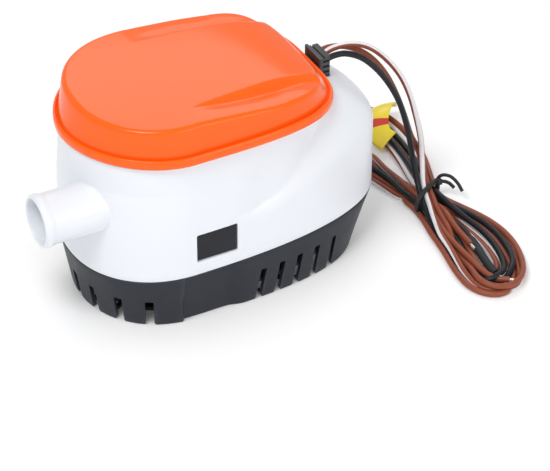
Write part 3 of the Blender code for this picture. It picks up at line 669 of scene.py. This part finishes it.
def make_studio():
    scene = bpy.context.scene
    scene.view_settings.view_transform = "Standard"
    world = bpy.data.worlds.new("studio")
    world.use_nodes = True
    background = world.node_tree.nodes["Background"]
    background.inputs["Color"].default_value = (1.0, 1.0, 1.0, 1)
    background.inputs["Strength"].default_value = WORLD_STRENGTH
    scene.world = world
    for lamp in LAMPS:
        area_light(*lamp)

    r = FLOOR_REACH
    floor = bpy.data.meshes.new("floor")
    floor.from_pydata([(-r, -r, 0), (r, -r, 0), (r, r, 0), (-r, r, 0)], [], [(0, 1, 2, 3)])
    paper = Graph(
        "paper_sweep", (0.96, 0.96, 0.965), 0.75, Emission_Color=(1, 1, 1, 1), Emission_Strength=0.05
    )
    paper.paint(paper.blend(paper.noise(60, 3), (0.955, 0.955, 0.96), (0.965, 0.965, 0.97)))
    floor.materials.append(paper.material)
    ground = bpy.data.objects.new("floor", floor)
    scene.collection.objects.link(ground)


# ---------------- leads and hank


def lengths(path):
    """How far along a path each of its points is."""
    return np.concatenate([[0], np.cumsum(np.linalg.norm(np.diff(path, axis=0), axis=1))])


def tangents(path):
    tangent = np.gradient(path, axis=0)
    return tangent / np.linalg.norm(tangent, axis=1)[:, None]


def through(points, spacing):
    """Evenly spaced points along a smooth curve through these."""
    p = np.array(points, float)
    p = np.vstack([2 * p[0] - p[1], p, 2 * p[-1] - p[-2]])
    t = np.linspace(0, 1, 24, endpoint=False)[:, None]
    pieces = []
    for a, b, c, d in zip(p, p[1:], p[2:], p[3:]):
        pieces.append(
            0.5 * (2 * b + (c - a) * t + (2 * a - 5 * b + 4 * c - d) * t**2 + (3 * b - a - 3 * c + d) * t**3)
        )
    line = np.vstack([*pieces, p[-2:-1]])
    along = lengths(line)
    at = np.linspace(0, along[-1], max(2, round(along[-1] / spacing) + 1))
    return np.stack([np.interp(at, along, line[:, k]) for k in range(3)], axis=1)


def lobe(outline, insets, heights, stations=11):
    """One turn round a lobe of the hank: insets from its outer edge and heights, evenly along it."""
    edge = through([(x, y, 0) for x, y in outline], 1.0)
    middle = edge.mean(0)
    tangent = np.gradient(edge, axis=0)
    inward = np.stack([-tangent[:, 1], tangent[:, 0], 0 * tangent[:, 0]], axis=1)
    inward /= np.linalg.norm(inward, axis=1)[:, None]
    inward *= np.sign(((middle - edge) * inward).sum(1))[:, None]
    share = np.linspace(0, 1, len(edge))
    knots = np.linspace(0, 1, len(insets))
    track = edge + inward * np.interp(share, knots, insets)[:, None]
    track[:, 2] = np.interp(share, knots, heights)
    keep = np.linspace(0.04, 0.96, stations) * (len(track) - 1)
    return track[keep.round().astype(int)]


def waist(across, z):
    """A place inside the tie."""
    place = TIE_MIDDLE + TIE_ALONG * across
    return [(place.x, place.y, z)]


# Heights of the layers of strands inside the tie.
LOW, MIDDLE, HIGH = 1.5, 4.1, 6.7


def lead_tracks():
    """The planned way of each lead: down from the pump, twice round each lobe, and out to its end."""
    return [
        [
            *BROWN_ROUTE, *waist(1.5, HIGH),
            *lobe(FRONT_LOBE, (7.0, 7.0, 3.0, 1.6, 1.6), (4.2, 3.0, 4.2, 4.2, 3.0)), *waist(7.5, LOW + 0.5),
            *lobe(REAR_LOBE, (1.6, 1.6, 1.6, 4.5, 4.5), (3.0, 4.2, 4.2, 2.0, 1.5)), *waist(-7.5, LOW),
            *lobe(FRONT_LOBE, (1.6, 1.6, 4.6, 7.6, 7.6), (1.5, 1.5, 1.5, 3.0, 4.2)), *waist(4.5, LOW),
            *lobe(REAR_LOBE, (8.0, 11.0, 12.0, 10.0, 8.0), (1.5, 1.5, 1.5, 4.2, 3.0)), *waist(0.0, MIDDLE),
            (111.5, -30.0, 5.6), (112.2, -44.0, 4.6), (111.8, -55.0, 4.2),
        ],
        [
            *STRIPED_ROUTE, *waist(-1.5, HIGH),
            *lobe(FRONT_LOBE, (4.6, 4.4, 4.8, 3.4, 4.0), (5.4, 4.4, 1.5, 1.5, 1.5)), *waist(6.0, MIDDLE),
            *lobe(REAR_LOBE, (4.5, 4.5, 4.5, 1.6, 1.6), (1.5, 1.5, 1.5, 1.5, 1.5)), *waist(-4.5, LOW),
            *lobe(FRONT_LOBE, (13.0, 13.0, 10.5, 14.0, 14.0), (1.5, 1.5, 1.5, 1.6, 2.0)), *waist(1.5, LOW),
            *lobe(REAR_LOBE, (11.0, 14.0, 9.0, 13.0, 8.0), (1.5, 1.5, 4.2, 1.5, 4.2)), *waist(-3.0, MIDDLE),
            (106.6, -34.0, 5.0), (104.6, -52.0, 4.2), (104.2, -70.0, 3.4), (105.4, -82.0, 3.2),
            (109.6, -88.0, 3.6), (113.2, -86.4, 4.0),
        ],
        [
            *BLACK_ROUTE, *waist(-4.5, HIGH),
            *lobe(FRONT_LOBE, (2.0, 7.0, 9.5, 10.5, 10.5), (4.2, 1.5, 4.2, 5.0, 6.6)), *waist(4.5, HIGH),
            *lobe(REAR_LOBE, (7.8, 12.0, 15.0, 7.6, 7.6), (4.2, 4.2, 6.0, 4.2, 4.2)), *waist(-6.0, MIDDLE),
            *lobe(FRONT_LOBE, (10.4, 10.4, 7.6, 4.6, 4.6), (1.5, 1.5, 3.0, 4.0, 4.2)), *waist(3.0, MIDDLE),
            *lobe(REAR_LOBE, (4.5, 4.5, 8.0, 10.5, 10.5), (4.2, 1.5, 1.5, 1.5, 1.5)), *waist(-1.5, LOW),
            (112.6, -34.0, 4.2), (114.4, -48.0, 4.2), (112.4, -66.0, 4.0), (108.9, -81.0, 3.6),
        ],
    ]


# Points lie STEP apart while the leads settle, CLEAR is the least room between two middles, and points
# higher than HELD_ABOVE stay where they are; within TIE_REACH the tie holds the leads closer to plan.
STEP = 2.1
CLEAR = 3.0
HELD_ABOVE = 16.0
TIE_REACH = 9.5
EASING_STEP = 2.0
LINE_STEP = 1.6


def settled(tracks, rounds=240):
    """Pushes the leads apart until none lies in another, and lets them down onto the floor."""
    strands = [through(t, STEP) for t in tracks]
    place = np.concatenate(strands)
    home = place.copy()
    strand = np.concatenate([np.full(len(s), k) for k, s in enumerate(strands)])
    order = np.concatenate([np.arange(len(s)) for s in strands])
    inner = np.flatnonzero(strand[2:] == strand[:-2]) + 1
    held = home[:, 2] > HELD_ABOVE
    in_tie = np.hypot(home[:, 0] - TIE_MIDDLE.x, home[:, 1] - TIE_MIDDLE.y) < TIE_REACH
    pull = np.where(in_tie, 0.10, 0.02)[:, None]
    free = np.where(held, 0.0, 1.0)[:, None]
    upper = np.triu(np.ones((len(place), len(place)), bool), 1)
    upper &= ~((strand[:, None] == strand) & (abs(order[:, None] - order) * STEP < 2.2 * CLEAR))
    for turn in range(rounds):
        if turn % 6 == 0:
            apart = ((place[:, None] - place) ** 2).sum(2)
            first, second = np.nonzero(upper & (apart < (CLEAR + 2.5) ** 2))
        gap = place[first] - place[second]
        dist = np.linalg.norm(gap, axis=1)
        push = gap / np.maximum(dist, 1e-6)[:, None] * (np.clip(CLEAR - dist, 0, None) * 0.42)[:, None]
        move = np.zeros_like(place)
        np.add.at(move, first, push)
        np.add.at(move, second, -push)
        size = np.linalg.norm(move, axis=1)[:, None]
        place += move * np.minimum(1, 1.2 / np.maximum(size, 1e-6)) * free
        if turn < rounds - 25:
            place += (home - place) * pull * free
            place[:, 2] -= 0.03 * free[:, 0]
        bend = (place[inner - 1] + place[inner + 1]) / 2 - place[inner]
        place[inner] += 0.28 * bend * free[inner]
        place[:, 2] = np.maximum(place[:, 2], WIRE_R + 0.05)
    starts = np.cumsum([0] + [len(s) for s in strands])
    return [place[a:b] for a, b in zip(starts, starts[1:])]


def eased(path, least_radius=8.5, rounds=400):
    """Opens out the bends that are tighter than this radius, with the ends held."""
    path = path.copy()
    for _ in range(rounds):
        step = np.linalg.norm(np.diff(path, axis=0), axis=1).mean()
        curve = (path[:-2] + path[2:]) / 2 - path[1:-1]
        tight = np.linalg.norm(curve, axis=1) > step * step / (2 * least_radius)
        if not tight.any():
            break
        near = np.convolve(tight, np.ones(5), "same") > 0
        path[1:-1] += 0.5 * curve * near[:, None]
    path[:, 2] = np.maximum(path[:, 2], WIRE_R + 0.05)
    return path


def frames(path):
    """A tangent, side and up vector for each point of a path, without twist."""
    side = np.array([0.0, 1.0, 0.0])
    result = []
    for t in tangents(path):
        side = side - t * side.dot(t)
        side /= np.linalg.norm(side)
        result.append((t, side, np.cross(t, side)))
    return result


def tube(name, path, radius, sides=16, twist=0.0, start_turn=0.0):
    """A lead along a path, with UVs round and along it; twist is its turns over the whole length."""
    bm = bmesh.new()
    layer = bm.loops.layers.uv.new("lead")
    rows = []
    radii = radius if hasattr(radius, "__len__") else np.full(len(path), radius)
    for i, (p, (_, side, up)) in enumerate(zip(path, frames(path))):
        offset = math.tau * (start_turn + twist * i / (len(path) - 1))
        ring = []
        for k in range(sides):
            a = math.tau * k / sides + offset
            ring.append(bm.verts.new((p + (side * math.cos(a) + up * math.sin(a)) * radii[i]) * MM))
        rows.append(ring)
    length = lengths(path) * MM
    for i in range(len(rows) - 1):
        for k in range(sides):
            j = (k + 1) % sides
            face = bm.faces.new((rows[i][k], rows[i][j], rows[i + 1][j], rows[i + 1][k]))
            corners = ((k, i), (k + 1, i), (k + 1, i + 1), (k, i + 1))
            for corner, (u, v) in zip(face.loops, corners):
                corner[layer].uv = (u / sides, length[v])
    bm.faces.new(rows[0])
    bm.faces.new(rows[-1])
    return finish_mesh(bm, name, 60)


def bare_end(name, path):
    """The tinned strands that show past the insulation: seven twisted wires."""
    direction = path[-1] - path[-4]
    direction /= np.linalg.norm(direction)
    _, side, up = frames(path[-4:])[-1]
    strands = []
    for k in range(7):
        radius = 0.0 if k == 6 else 0.55
        line = []
        for i in range(9):
            turn = math.tau * (k / 6 + 0.35 * i / 8)
            lateral = side * math.cos(turn) + up * math.sin(turn)
            line.append(path[-1] + direction * (-1.0 + 5.2 * i / 8) + lateral * radius)
        strands.append(tube("strand", np.array(line), 0.3, sides=6))
    return add(name, joined(name, strands), "tinned", "strainer")


# Each lead's finish, its turns over its length, the turn it starts with, and its material slot.
LEAD_LOOKS = {
    "brown": ("brown", 0.0, 0.0, "brown_insulation"),
    "striped": ("striped", 3.0, -0.30, "white_insulation"),
    "black": ("black_wire", 0.0, 0.0, "black_insulation"),
}


def make_leads():
    """The three leads and their bare ends; gives each lead's centreline."""
    lines = {}
    for colour, path in zip(LEAD_LOOKS, settled(lead_tracks())):
        finish, twist, start_turn, slot = LEAD_LOOKS[colour]
        line = through(eased(through(path, EASING_STEP)), LINE_STEP)
        lead = add(f"{colour}_lead", tube(f"{colour}_wire", line, WIRE_R, 16, twist, start_turn), finish)
        end = bare_end(f"{colour}_lead_strands", line)
        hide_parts(f"{colour}_wire", *(["wire_hank"] if colour == "brown" else []))
        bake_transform(lead)
        lines[colour] = line
    return lines


def loop_path(middle, along, half, low, high):
    """A closed rounded path round the hank's waist, in an upright plane."""
    points = []
    for i in range(40):
        turn = math.tau * i / 40
        c, s = math.cos(turn), math.sin(turn)
        place = middle + along * half * math.copysign(abs(c) ** 0.7, c)
        z = (low + high) / 2 + (high - low) / 2 * math.copysign(abs(s) ** 0.7, s)
        points.append((place.x, place.y, z))
    return [*points, points[0]]


TIE_TAILS = (
    ((119.6, -9.4, 7.8), (120.8, -9.6, 11.0), (122.6, -11.2, 12.8), (125.2, -13.8, 12.4),
     (127.2, -16.8, 9.8), (128.2, -19.6, 6.6)),
    ((119.2, -10.4, 8.2), (121.6, -11.6, 9.6), (124.0, -13.6, 9.2), (125.8, -16.0, 7.2)),
)
TIE_KNOT = ((118.4, -10.6, 8.4), (119.6, -9.6, 9.6), (120.8, -10.8, 9.8), (120.0, -11.8, 8.6))


def make_tie():
    """A twist tie: a band round the waist, with a knot and two ends bent over."""
    band = loop_path(TIE_MIDDLE, TIE_ALONG, 10.2, 1.2, 10.4)
    parts = [tube("band", through(band, 1.0), 1.15, sides=12)]
    parts += [tube("tail", through(tail, 0.8), 0.85, sides=10) for tail in TIE_TAILS]
    parts.append(tube("knot", through(TIE_KNOT, 0.6), 1.25, sides=10))
    add("twist_tie", joined("tie", parts), "rubber", "strainer", ["wire_tie"])


def label_material():
    """A coated yellow label with a plain red band."""
    g = Graph("label", YELLOW, 0.36, Coat_Weight=0.3, Coat_Roughness=0.2)
    paper = g.blend(g.noise(7, 3), tint(YELLOW, 0.93), tint(YELLOW, 1.06))
    g.paint(g.blend(g.band(g.map_u(), 0.60, 0.72, 0.005), paper, RED))
    g.rough(g.ranged(g.noise(4, 3), 0.3, 0.46))
    g.bump(g.noise(3, 2), 0.02)
    return g.material


TAG_LINE = (
    (132.5, 62.0, 4.5), (130.0, 58.5, 9.5), (125.5, 54.0, 12.5), (120.5, 49.0, 12.0), (117.5, 44.0, 9.5),
    (116.5, 38.5, 7.4), (118.0, 33.5, 6.6),
)
TAG_WIDTH = 11.5
TAG_ACROSS = (0.80, -0.42, 0.30)
TAG_ARCH = 0.7
TAG_THICK = 0.35


def make_tag():
    """A flag label folded over the leads: a curved strip with thickness."""
    line = through(TAG_LINE, 1.2)
    across = np.array(TAG_ACROSS)
    bm = bmesh.new()
    layer = bm.loops.layers.uv.new("lead")
    steps = 12
    grid = []
    for p, t in zip(line, tangents(line)):
        side = across - t * across.dot(t)
        side /= np.linalg.norm(side)
        up = np.cross(t, side)
        row = []
        for k in range(steps + 1):
            v = k / steps - 0.5
            row.append(bm.verts.new((p + side * v * TAG_WIDTH + up * TAG_ARCH * (1 - 4 * v * v)) * MM))
        grid.append(row)
    for i in range(len(grid) - 1):
        for k in range(steps):
            face = bm.faces.new((grid[i][k], grid[i][k + 1], grid[i + 1][k + 1], grid[i + 1][k]))
            for corner, (u, v) in zip(face.loops, ((i, k), (i, k + 1), (i + 1, k + 1), (i + 1, k))):
                corner[layer].uv = (u / (len(grid) - 1), v / steps)
    M["label"] = label_material()
    tag = add("flag_label", finish_mesh(bm, "tag", 60), "label", "strainer", ["wire_tag"])
    thick = tag.modifiers.new("paper", "SOLIDIFY")
    thick.thickness = TAG_THICK * MM


def make_sleeve(path):
    """The shrink sleeve on the black lead's free end."""
    tail = path[-20:]
    radii = np.full(len(tail), 2.05)
    radii[:2] = (1.6, 1.95)
    radii[-2:] = (1.95, 1.6)
    add("black_lead_sleeve", tube("sleeve", tail, radii, 20), "rubber", "strainer")


# ---------------- strainer base


def slot_cutter(place, out, width, top, lean, near):
    """A slot that opens at the foot, where the teeth beside it have rounded corners."""
    side = Vector((-out.y, out.x))
    half, r = width / 2, TOOTH_ROUND
    profile = [(-half - r, -1.0), (-half - r, 0.0)]
    profile += [(-half - r * (1 - math.sin(t)), r * (1 - math.cos(t))) for t in (0.5, 0.9, 1.25, 1.57)]
    profile += [(-half, top - 0.4), (-half + 0.4, top)]
    profile += [(-a, z) for a, z in reversed(profile)]
    rings = []
    for reach in (near, SLOT_END):
        ring = []
        for a, z in profile:
            point = place + out * reach + side * (a + lean * z / top)
            ring.append((point.x, point.y, z))
        rings.append(ring)
    return loft("slot", rings)


def floor_spoke(angle):
    """A flat spoke from the floor plate out to the skirt."""
    inner, outer = outline_point(BASE_FOOT, angle, FLOOR_INSET + 1), skirt_point(angle, 0, 1.1)
    side = (outer - inner).orthogonal().normalized() * 0.9
    return prism("spoke", [inner - side, outer - side, outer + side, inner + side], 0.0, FLOOR_THICK)


def make_strainer_base():
    """The slotted skirt, the collar inside its top, and the floor plate on its spokes."""
    edge = RECESS_X[0]
    edges = [
        angle_at(LOWER_BODY, x, side) for side in (1, -1)
        for x in (edge - 0.5, edge - 0.2, edge, edge + 0.2, edge + 0.5)
    ]
    angles = sorted(ANGLES + edges)
    levels = (0.0, 0.35, 1.0, 5.0, 10.0, 15.0, 20.0, 24.0, 26.1, 26.5, SKIRT_TOP)
    tuck = {0.0: 0.5, 0.35: 0.15, 26.5: 0.1, SKIRT_TOP: 0.35}
    outside = [wall_ring(skirt_point, z, tuck.get(z, 0.0), angles) for z in levels]
    inside = [wall_ring(skirt_point, z, WALL, angles) for z in (SKIRT_TOP, 18.0, 9.0, 0.0)]
    base = add("strainer_shell", loft("skirt", outside + inside, ring_shaped=True), "slate", "strainer",
               ["strainer_base"])
    # The collar's section, as inset and height.
    steps = ((1.6, 25.2), (1.6, 26.4), (2.6, 26.4), (2.6, 31.0), (4.4, 31.0), (4.4, 25.2))
    collar = [outline_ring(LOWER_BODY, z, inset) for inset, z in steps]
    plate = [outline_ring(BASE_FOOT, z, FLOOR_INSET) for z in (0.0, FLOOR_THICK)]
    unite(base, loft("collar", collar, ring_shaped=True), loft("floor_plate", plate))
    spokes = [math.pi + k * FRONT_SLOT_STEP / 2 for k in (-5, -3, -1, 1, 3, 5)]
    spokes += [angle_at(BASE_FOOT, x, side) for side in (1, -1) for x in (-8.0, 12.0, 32.0)]
    unite(base, *(floor_spoke(angle) for angle in [*spokes, 0.0]))

    middle = Vector((MOTOR_X, 0))
    for k in range(-3, 4):
        angle = math.pi + k * FRONT_SLOT_STEP
        out = Vector((math.cos(angle), math.sin(angle)))
        cut(base, slot_cutter(middle, out, FRONT_SLOT_WIDTH, FRONT_SLOT_TOP, 0.0, FRONT_SLOT_START))
    for side in (1, -1):
        out, lean = Vector((0, side)), -side * SIDE_SLOT_LEAN
        for x in SIDE_SLOT_X:
            near = LAST_SLOT_START if x == SIDE_SLOT_X[-1] else SIDE_SLOT_START
            cut(base, slot_cutter(Vector((x, 0)), out, SIDE_SLOT_WIDTH, SIDE_SLOT_TOP, lean, near))
        cut(base, block("latch_notch", NOTCH_X, on_side(side, *NOTCH_Y), (SKIRT_TOP, NOTCH_TOP)))
    base.data.shade_smooth()
    base.data.set_sharp_from_angle(angle=math.radians(38))


def make_latch(name, side, body):
    """The tab behind a window, with the raised pad that fills the window."""
    plan = rounded_plan(TAB_X, (SKIRT_TOP + 0.3, TAB_TOP), 1.2)
    obj = add(name + "_shell", slab(name, plan, on_side(side, *TAB_Y)), "tab", body, [name])
    x, z = ((low + PAD_GAP, high - PAD_GAP) for low, high in (WINDOW_X, WINDOW_Z))
    unite(obj, slab("pad", rounded_plan(x, z, 0.6), on_side(side, TAB_Y[1] - 0.5, PAD_Y)))
    soften(obj, 0.3, 3, 50)


# ---------------- housing


def make_housing():
    """The white housing with its spout, its windows and the hollows of the real one."""
    levels = [HOUSING_BOTTOM, 27.15, 27.5, 30, 33, 36, 39, 42, 44, 46]
    levels += [46 + 0.9 * k for k in range(1, 33)]
    levels += [76.5, 78.5, 80.5, 82, 83.5, 85, 86.2, 87.2, HOUSING_TOP]
    tuck = {HOUSING_BOTTOM: 0.35, 27.15: 0.12}
    outside = [wall_ring(housing_point, z, tuck.get(z, 0.0)) for z in levels]
    housing = add("housing_shell", loft("housing", outside), "white", "pump_body", ["pump_housing"])

    wet = (HOUSING_BOTTOM - 1, 40, 44, 47, 50, 53, 56, 59, 62, 65, 68, DECK_BOTTOM)
    cut(housing, loft("wet_space", [wall_ring(housing_point, z, WALL) for z in wet]))
    # The dry space narrows to the gasket's seat and opens again above it: inset and height.
    steps = ((3.6, 82.0), (3.6, 85.5), (1.3, 85.5), (1.3, HOUSING_TOP + 1))
    dry = [wall_ring(housing_point, z, WALL) for z in (DECK_TOP, 76, 80)]
    dry += [outline_ring(UPPER_BODY, z, inset) for inset, z in steps]
    cut(housing, loft("dry_space", dry))

    axis = (MOTOR_X, 0.0)
    unite(housing, tube_ring("chamber_wall", *CHAMBER_R, CHAMBER_BOTTOM, DECK_BOTTOM + 0.5, axis, 96))
    for k in range(3):
        turn = math.radians(60 + 120 * k)
        place = (MOTOR_X + SCREW_CIRCLE_R * math.cos(turn), SCREW_CIRCLE_R * math.sin(turn))
        unite(housing, disc("screw_boss", SCREW_BOSS_R, SCREW_BOSS_BOTTOM, DECK_TOP - 1, place, 28))
    lug_x = (PIVOT[0] - LUG_HALF_X, PIVOT[0] + LUG_HALF_X)
    for side in (1, -1):
        unite(housing, block("pivot_lug", lug_x, on_side(side, *LUG_Y), (LUG_BOTTOM, DECK_BOTTOM + 1)))

    lip = SPOUT_MOUTH_X
    profile = (
        (SPOUT_BORE_R + 0.5, lip), (SPOUT_BORE_R + 0.9, lip + 0.03), (SPOUT_BEAD_R - 0.7, lip + 0.3),
        (SPOUT_BEAD_R - 0.2, lip + 1.0), (SPOUT_BEAD_R, lip + 1.9), (SPOUT_BEAD_R, lip + 2.8),
        (SPOUT_BEAD_R - 0.25, lip + 3.8), (SPOUT_R + 0.1, lip + 4.9), (SPOUT_R, lip + 5.6),
        (SPOUT_R, SPOUT_SEAM_X - 3.5), (SPOUT_R + 0.15, SPOUT_SEAM_X), (SPOUT_R, SPOUT_SEAM_X + 2.5),
        (SPOUT_R, SPOUT_END_X),
    )
    tube_body = turned("spout", profile, sides=96, ring_shaped=False)
    unite(housing, lying(tube_body, "X", (0, SPOUT_Y, SPOUT_Z)))
    mouth = (
        (SPOUT_BORE_R + 0.55, lip - 1), (SPOUT_BORE_R + 0.5, lip), (SPOUT_BORE_R + 0.15, lip + 0.4),
        (SPOUT_BORE_R, lip + 1.0), (SPOUT_BORE_R, SPOUT_END_X + 1),
    )
    bore = turned("bore", mouth, sides=96, ring_shaped=False)
    cut(housing, lying(bore, "X", (0, SPOUT_Y, SPOUT_Z)))
    cut(housing, disc("chamber_space", CHAMBER_R[0], 44.0, DECK_BOTTOM, axis, 96))

    cut(housing, disc("capsule_hole", CAPSULE_HOLE_R, DECK_BOTTOM - 1, DECK_TOP + 1, axis, 96))
    pin_hole = disc("pin_hole", PIN_HOLE_R, -20, 20, (0, 0), 24)
    cut(housing, lying(pin_hole, "Y", (PIVOT[0], 0, PIVOT[1])))
    for side in (1, -1):
        cut(housing, slab("window", rounded_plan(WINDOW_X, WINDOW_Z, 0.9), on_side(side, 36.0, 48.0)))
    x = (RELIEF_X[0] - POCKET_GAP, RELIEF_X[1] + POCKET_GAP)
    y = (-RELIEF_HALF_Y - 1.6, RELIEF_HALF_Y + 1.6)
    cut(housing, block("relief_pocket", x, y, (RELIEF_BOTTOM - POCKET_GAP, 96)))
    housing.data.shade_smooth()
    housing.data.set_sharp_from_angle(angle=math.radians(32))


# ---------------- cover


COVER_ANGLES = even_angles(DOME_FOOT, 300)
RIM_ROUND = 2.2
FOOT_ROUND = 0.6
FOOT_SINK = 1.2
TOP_RINGS = 64
COVER_MIDDLE = Vector((-10.0, 0.0))


def cover_rings(depth):
    """Rings from the middle of the top, over the rim and down the dome wall; depth moves them in."""
    edges = []
    for a in COVER_ANGLES:
        edge = wall_point(a, RIM_Z, depth)
        for _ in range(3):
            z = top_height(edge.x, edge.y)
            edge = wall_point(a, z, depth)
        edges.append((edge, z))
    rings = []
    for k in range(TOP_RINGS):
        share = 0.02 + 0.98 * (k / (TOP_RINGS - 1)) ** 0.8
        ring = []
        for edge, _ in edges:
            length = (edge - COVER_MIDDLE).length
            place = COVER_MIDDLE.lerp(edge, share * (1 - RIM_ROUND / length))
            ring.append((*place, top_height(place.x, place.y) - depth))
        rings.append(ring)
    for k in range(1, 8):
        turn = math.radians(90 * k / 7)
        ring = []
        for a, (edge, z), last in zip(COVER_ANGLES, edges, rings[TOP_RINGS - 1]):
            inward = (COVER_MIDDLE - edge).normalized()
            down = last[2] - RIM_ROUND * (1 - math.cos(turn))
            wall = wall_point(a, down, depth)
            ring.append((*(wall + inward * RIM_ROUND * (1 - math.sin(turn))), down))
        rings.append(ring)
    bottom = FLANGE_TOP - FOOT_SINK - depth + FOOT_ROUND
    for share in (0.2, 0.4, 0.6, 0.8, 1.0):
        ring = []
        for a, last in zip(COVER_ANGLES, rings[TOP_RINGS + 6]):
            z = mix(last[2], bottom, share)
            ring.append((*wall_point(a, z, depth), z))
        rings.append(ring)
    return rings


# The flange's edge from the dome's foot round to its underside: inset and height over the flange's top.
BEAD = (
    (1.72, -1.0), (1.5, -0.45), (1.1, -0.08), (0.7, -0.08), (0.35, -0.4), (0.1, -0.95), (0.0, -1.6),
    (0.0, -3.2), (0.12, -4.0), (0.5, -4.6),
)
LIP_BOTTOM = 87.7


def make_cover():
    """The orange cover: top and wall, the foot's round, the flange, the lip and the inner side."""
    rings = cover_rings(0.0)
    for k in range(1, 6):
        turn = math.radians(90 * k / 5)
        z = FLANGE_TOP - FOOT_SINK + FOOT_ROUND * (1 - math.sin(turn))
        out = FOOT_ROUND * (1 - math.cos(turn))
        rings.append(wall_ring(wall_point, z, -out, COVER_ANGLES))
    rings += [outline_ring(FLANGE, FLANGE_TOP + dz, inset, COVER_ANGLES) for inset, dz in BEAD]
    lip = ((1.6, FLANGE_BOTTOM), (1.6, LIP_BOTTOM), (4.2, LIP_BOTTOM), (4.2, FLANGE_TOP - WALL))
    rings += [outline_ring(UPPER_BODY, z, inset, COVER_ANGLES) for inset, z in lip]
    rings += reversed(cover_rings(WALL)[::3])
    add("cover_shell", loft("cover", rings, sharp=50), "orange", "pump_body", ["top_cover"])


def make_strain_relief():
    """The block the leads leave through, with a collar, grooved sides and a groove on top."""
    front, rear = RELIEF_X
    half = RELIEF_HALF_Y
    plan = rounded_plan(RELIEF_X, (-half, half), 0.7, 4)
    body = prism("relief", plan, RELIEF_BOTTOM, RELIEF_TOP)
    relief = add("strain_relief_block", body, "black", "pump_body", ["strain_relief"])
    collar = rounded_plan((front + 0.1, front + 1.6), (-half - 1.2, half + 1.2), 0.5, 3)
    unite(relief, prism("collar", collar, 86.5, RELIEF_TOP + 0.4))
    for z in RELIEF_GROOVES:
        for side in (1, -1):
            y = on_side(side, half - 0.7, half + 1)
            cut(relief, block("groove", (front + 2.3, rear + 1), y, (z, z + GROOVE_WIDTH)))
    top_groove = (front + 2.6, front + 3.4)
    cut(relief, block("top_groove", top_groove, (-half - 2, half + 2), (RELIEF_TOP - 0.9, 99)))
    soften(relief, 0.3, 2, 45)


# ---------------- inner pieces


INNER = {
    "grey": ("inlet_plate", "motor_capsule", "impeller", "float_arm"),
    "rubber": ("cover_gasket", "capsule_seal", "shaft_seal"),
    "bright": ("capsule_screw_1", "capsule_screw_2", "capsule_screw_3", "float_pin", "motor_shaft"),
    "steel": ("motor_can",),
    "black": ("motor_end_cap",),
    "bronze": ("lower_bearing", "upper_bearing"),
    "ferrite": ("magnet_left", "magnet_right", "brush_left", "brush_right", "float_magnet"),
    "iron": ("armature_core",),
    "copper": ("armature_windings", "commutator"),
    "foam": ("float",),
    "board": ("switch_board",),
    "glass": ("reed_switch",),
    "brown": ("motor_lead_1",),
    "black_wire": ("motor_lead_2",),
}


def dress_inner_pieces():
    for finish, names in INNER.items():
        for name in names:
            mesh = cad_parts[name].data
            mesh.materials.clear()
            mesh.materials.append(M[finish])


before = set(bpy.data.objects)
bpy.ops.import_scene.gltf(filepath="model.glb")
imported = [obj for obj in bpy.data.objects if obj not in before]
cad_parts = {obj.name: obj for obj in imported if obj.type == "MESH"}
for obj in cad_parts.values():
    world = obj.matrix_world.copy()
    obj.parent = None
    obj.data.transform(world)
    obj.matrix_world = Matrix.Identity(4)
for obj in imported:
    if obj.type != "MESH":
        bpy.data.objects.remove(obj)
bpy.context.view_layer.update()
make_camera()
make_studio()
M.update(make_materials())
lead_lines = make_leads()
make_tie()
make_tag()
make_sleeve(lead_lines["black"])
make_strainer_base()
make_latch("latch_tab_near", -1, "latch_near")
make_latch("latch_tab_far", 1, "latch_far")
make_housing()
make_cover()
make_strain_relief()
dress_inner_pieces()
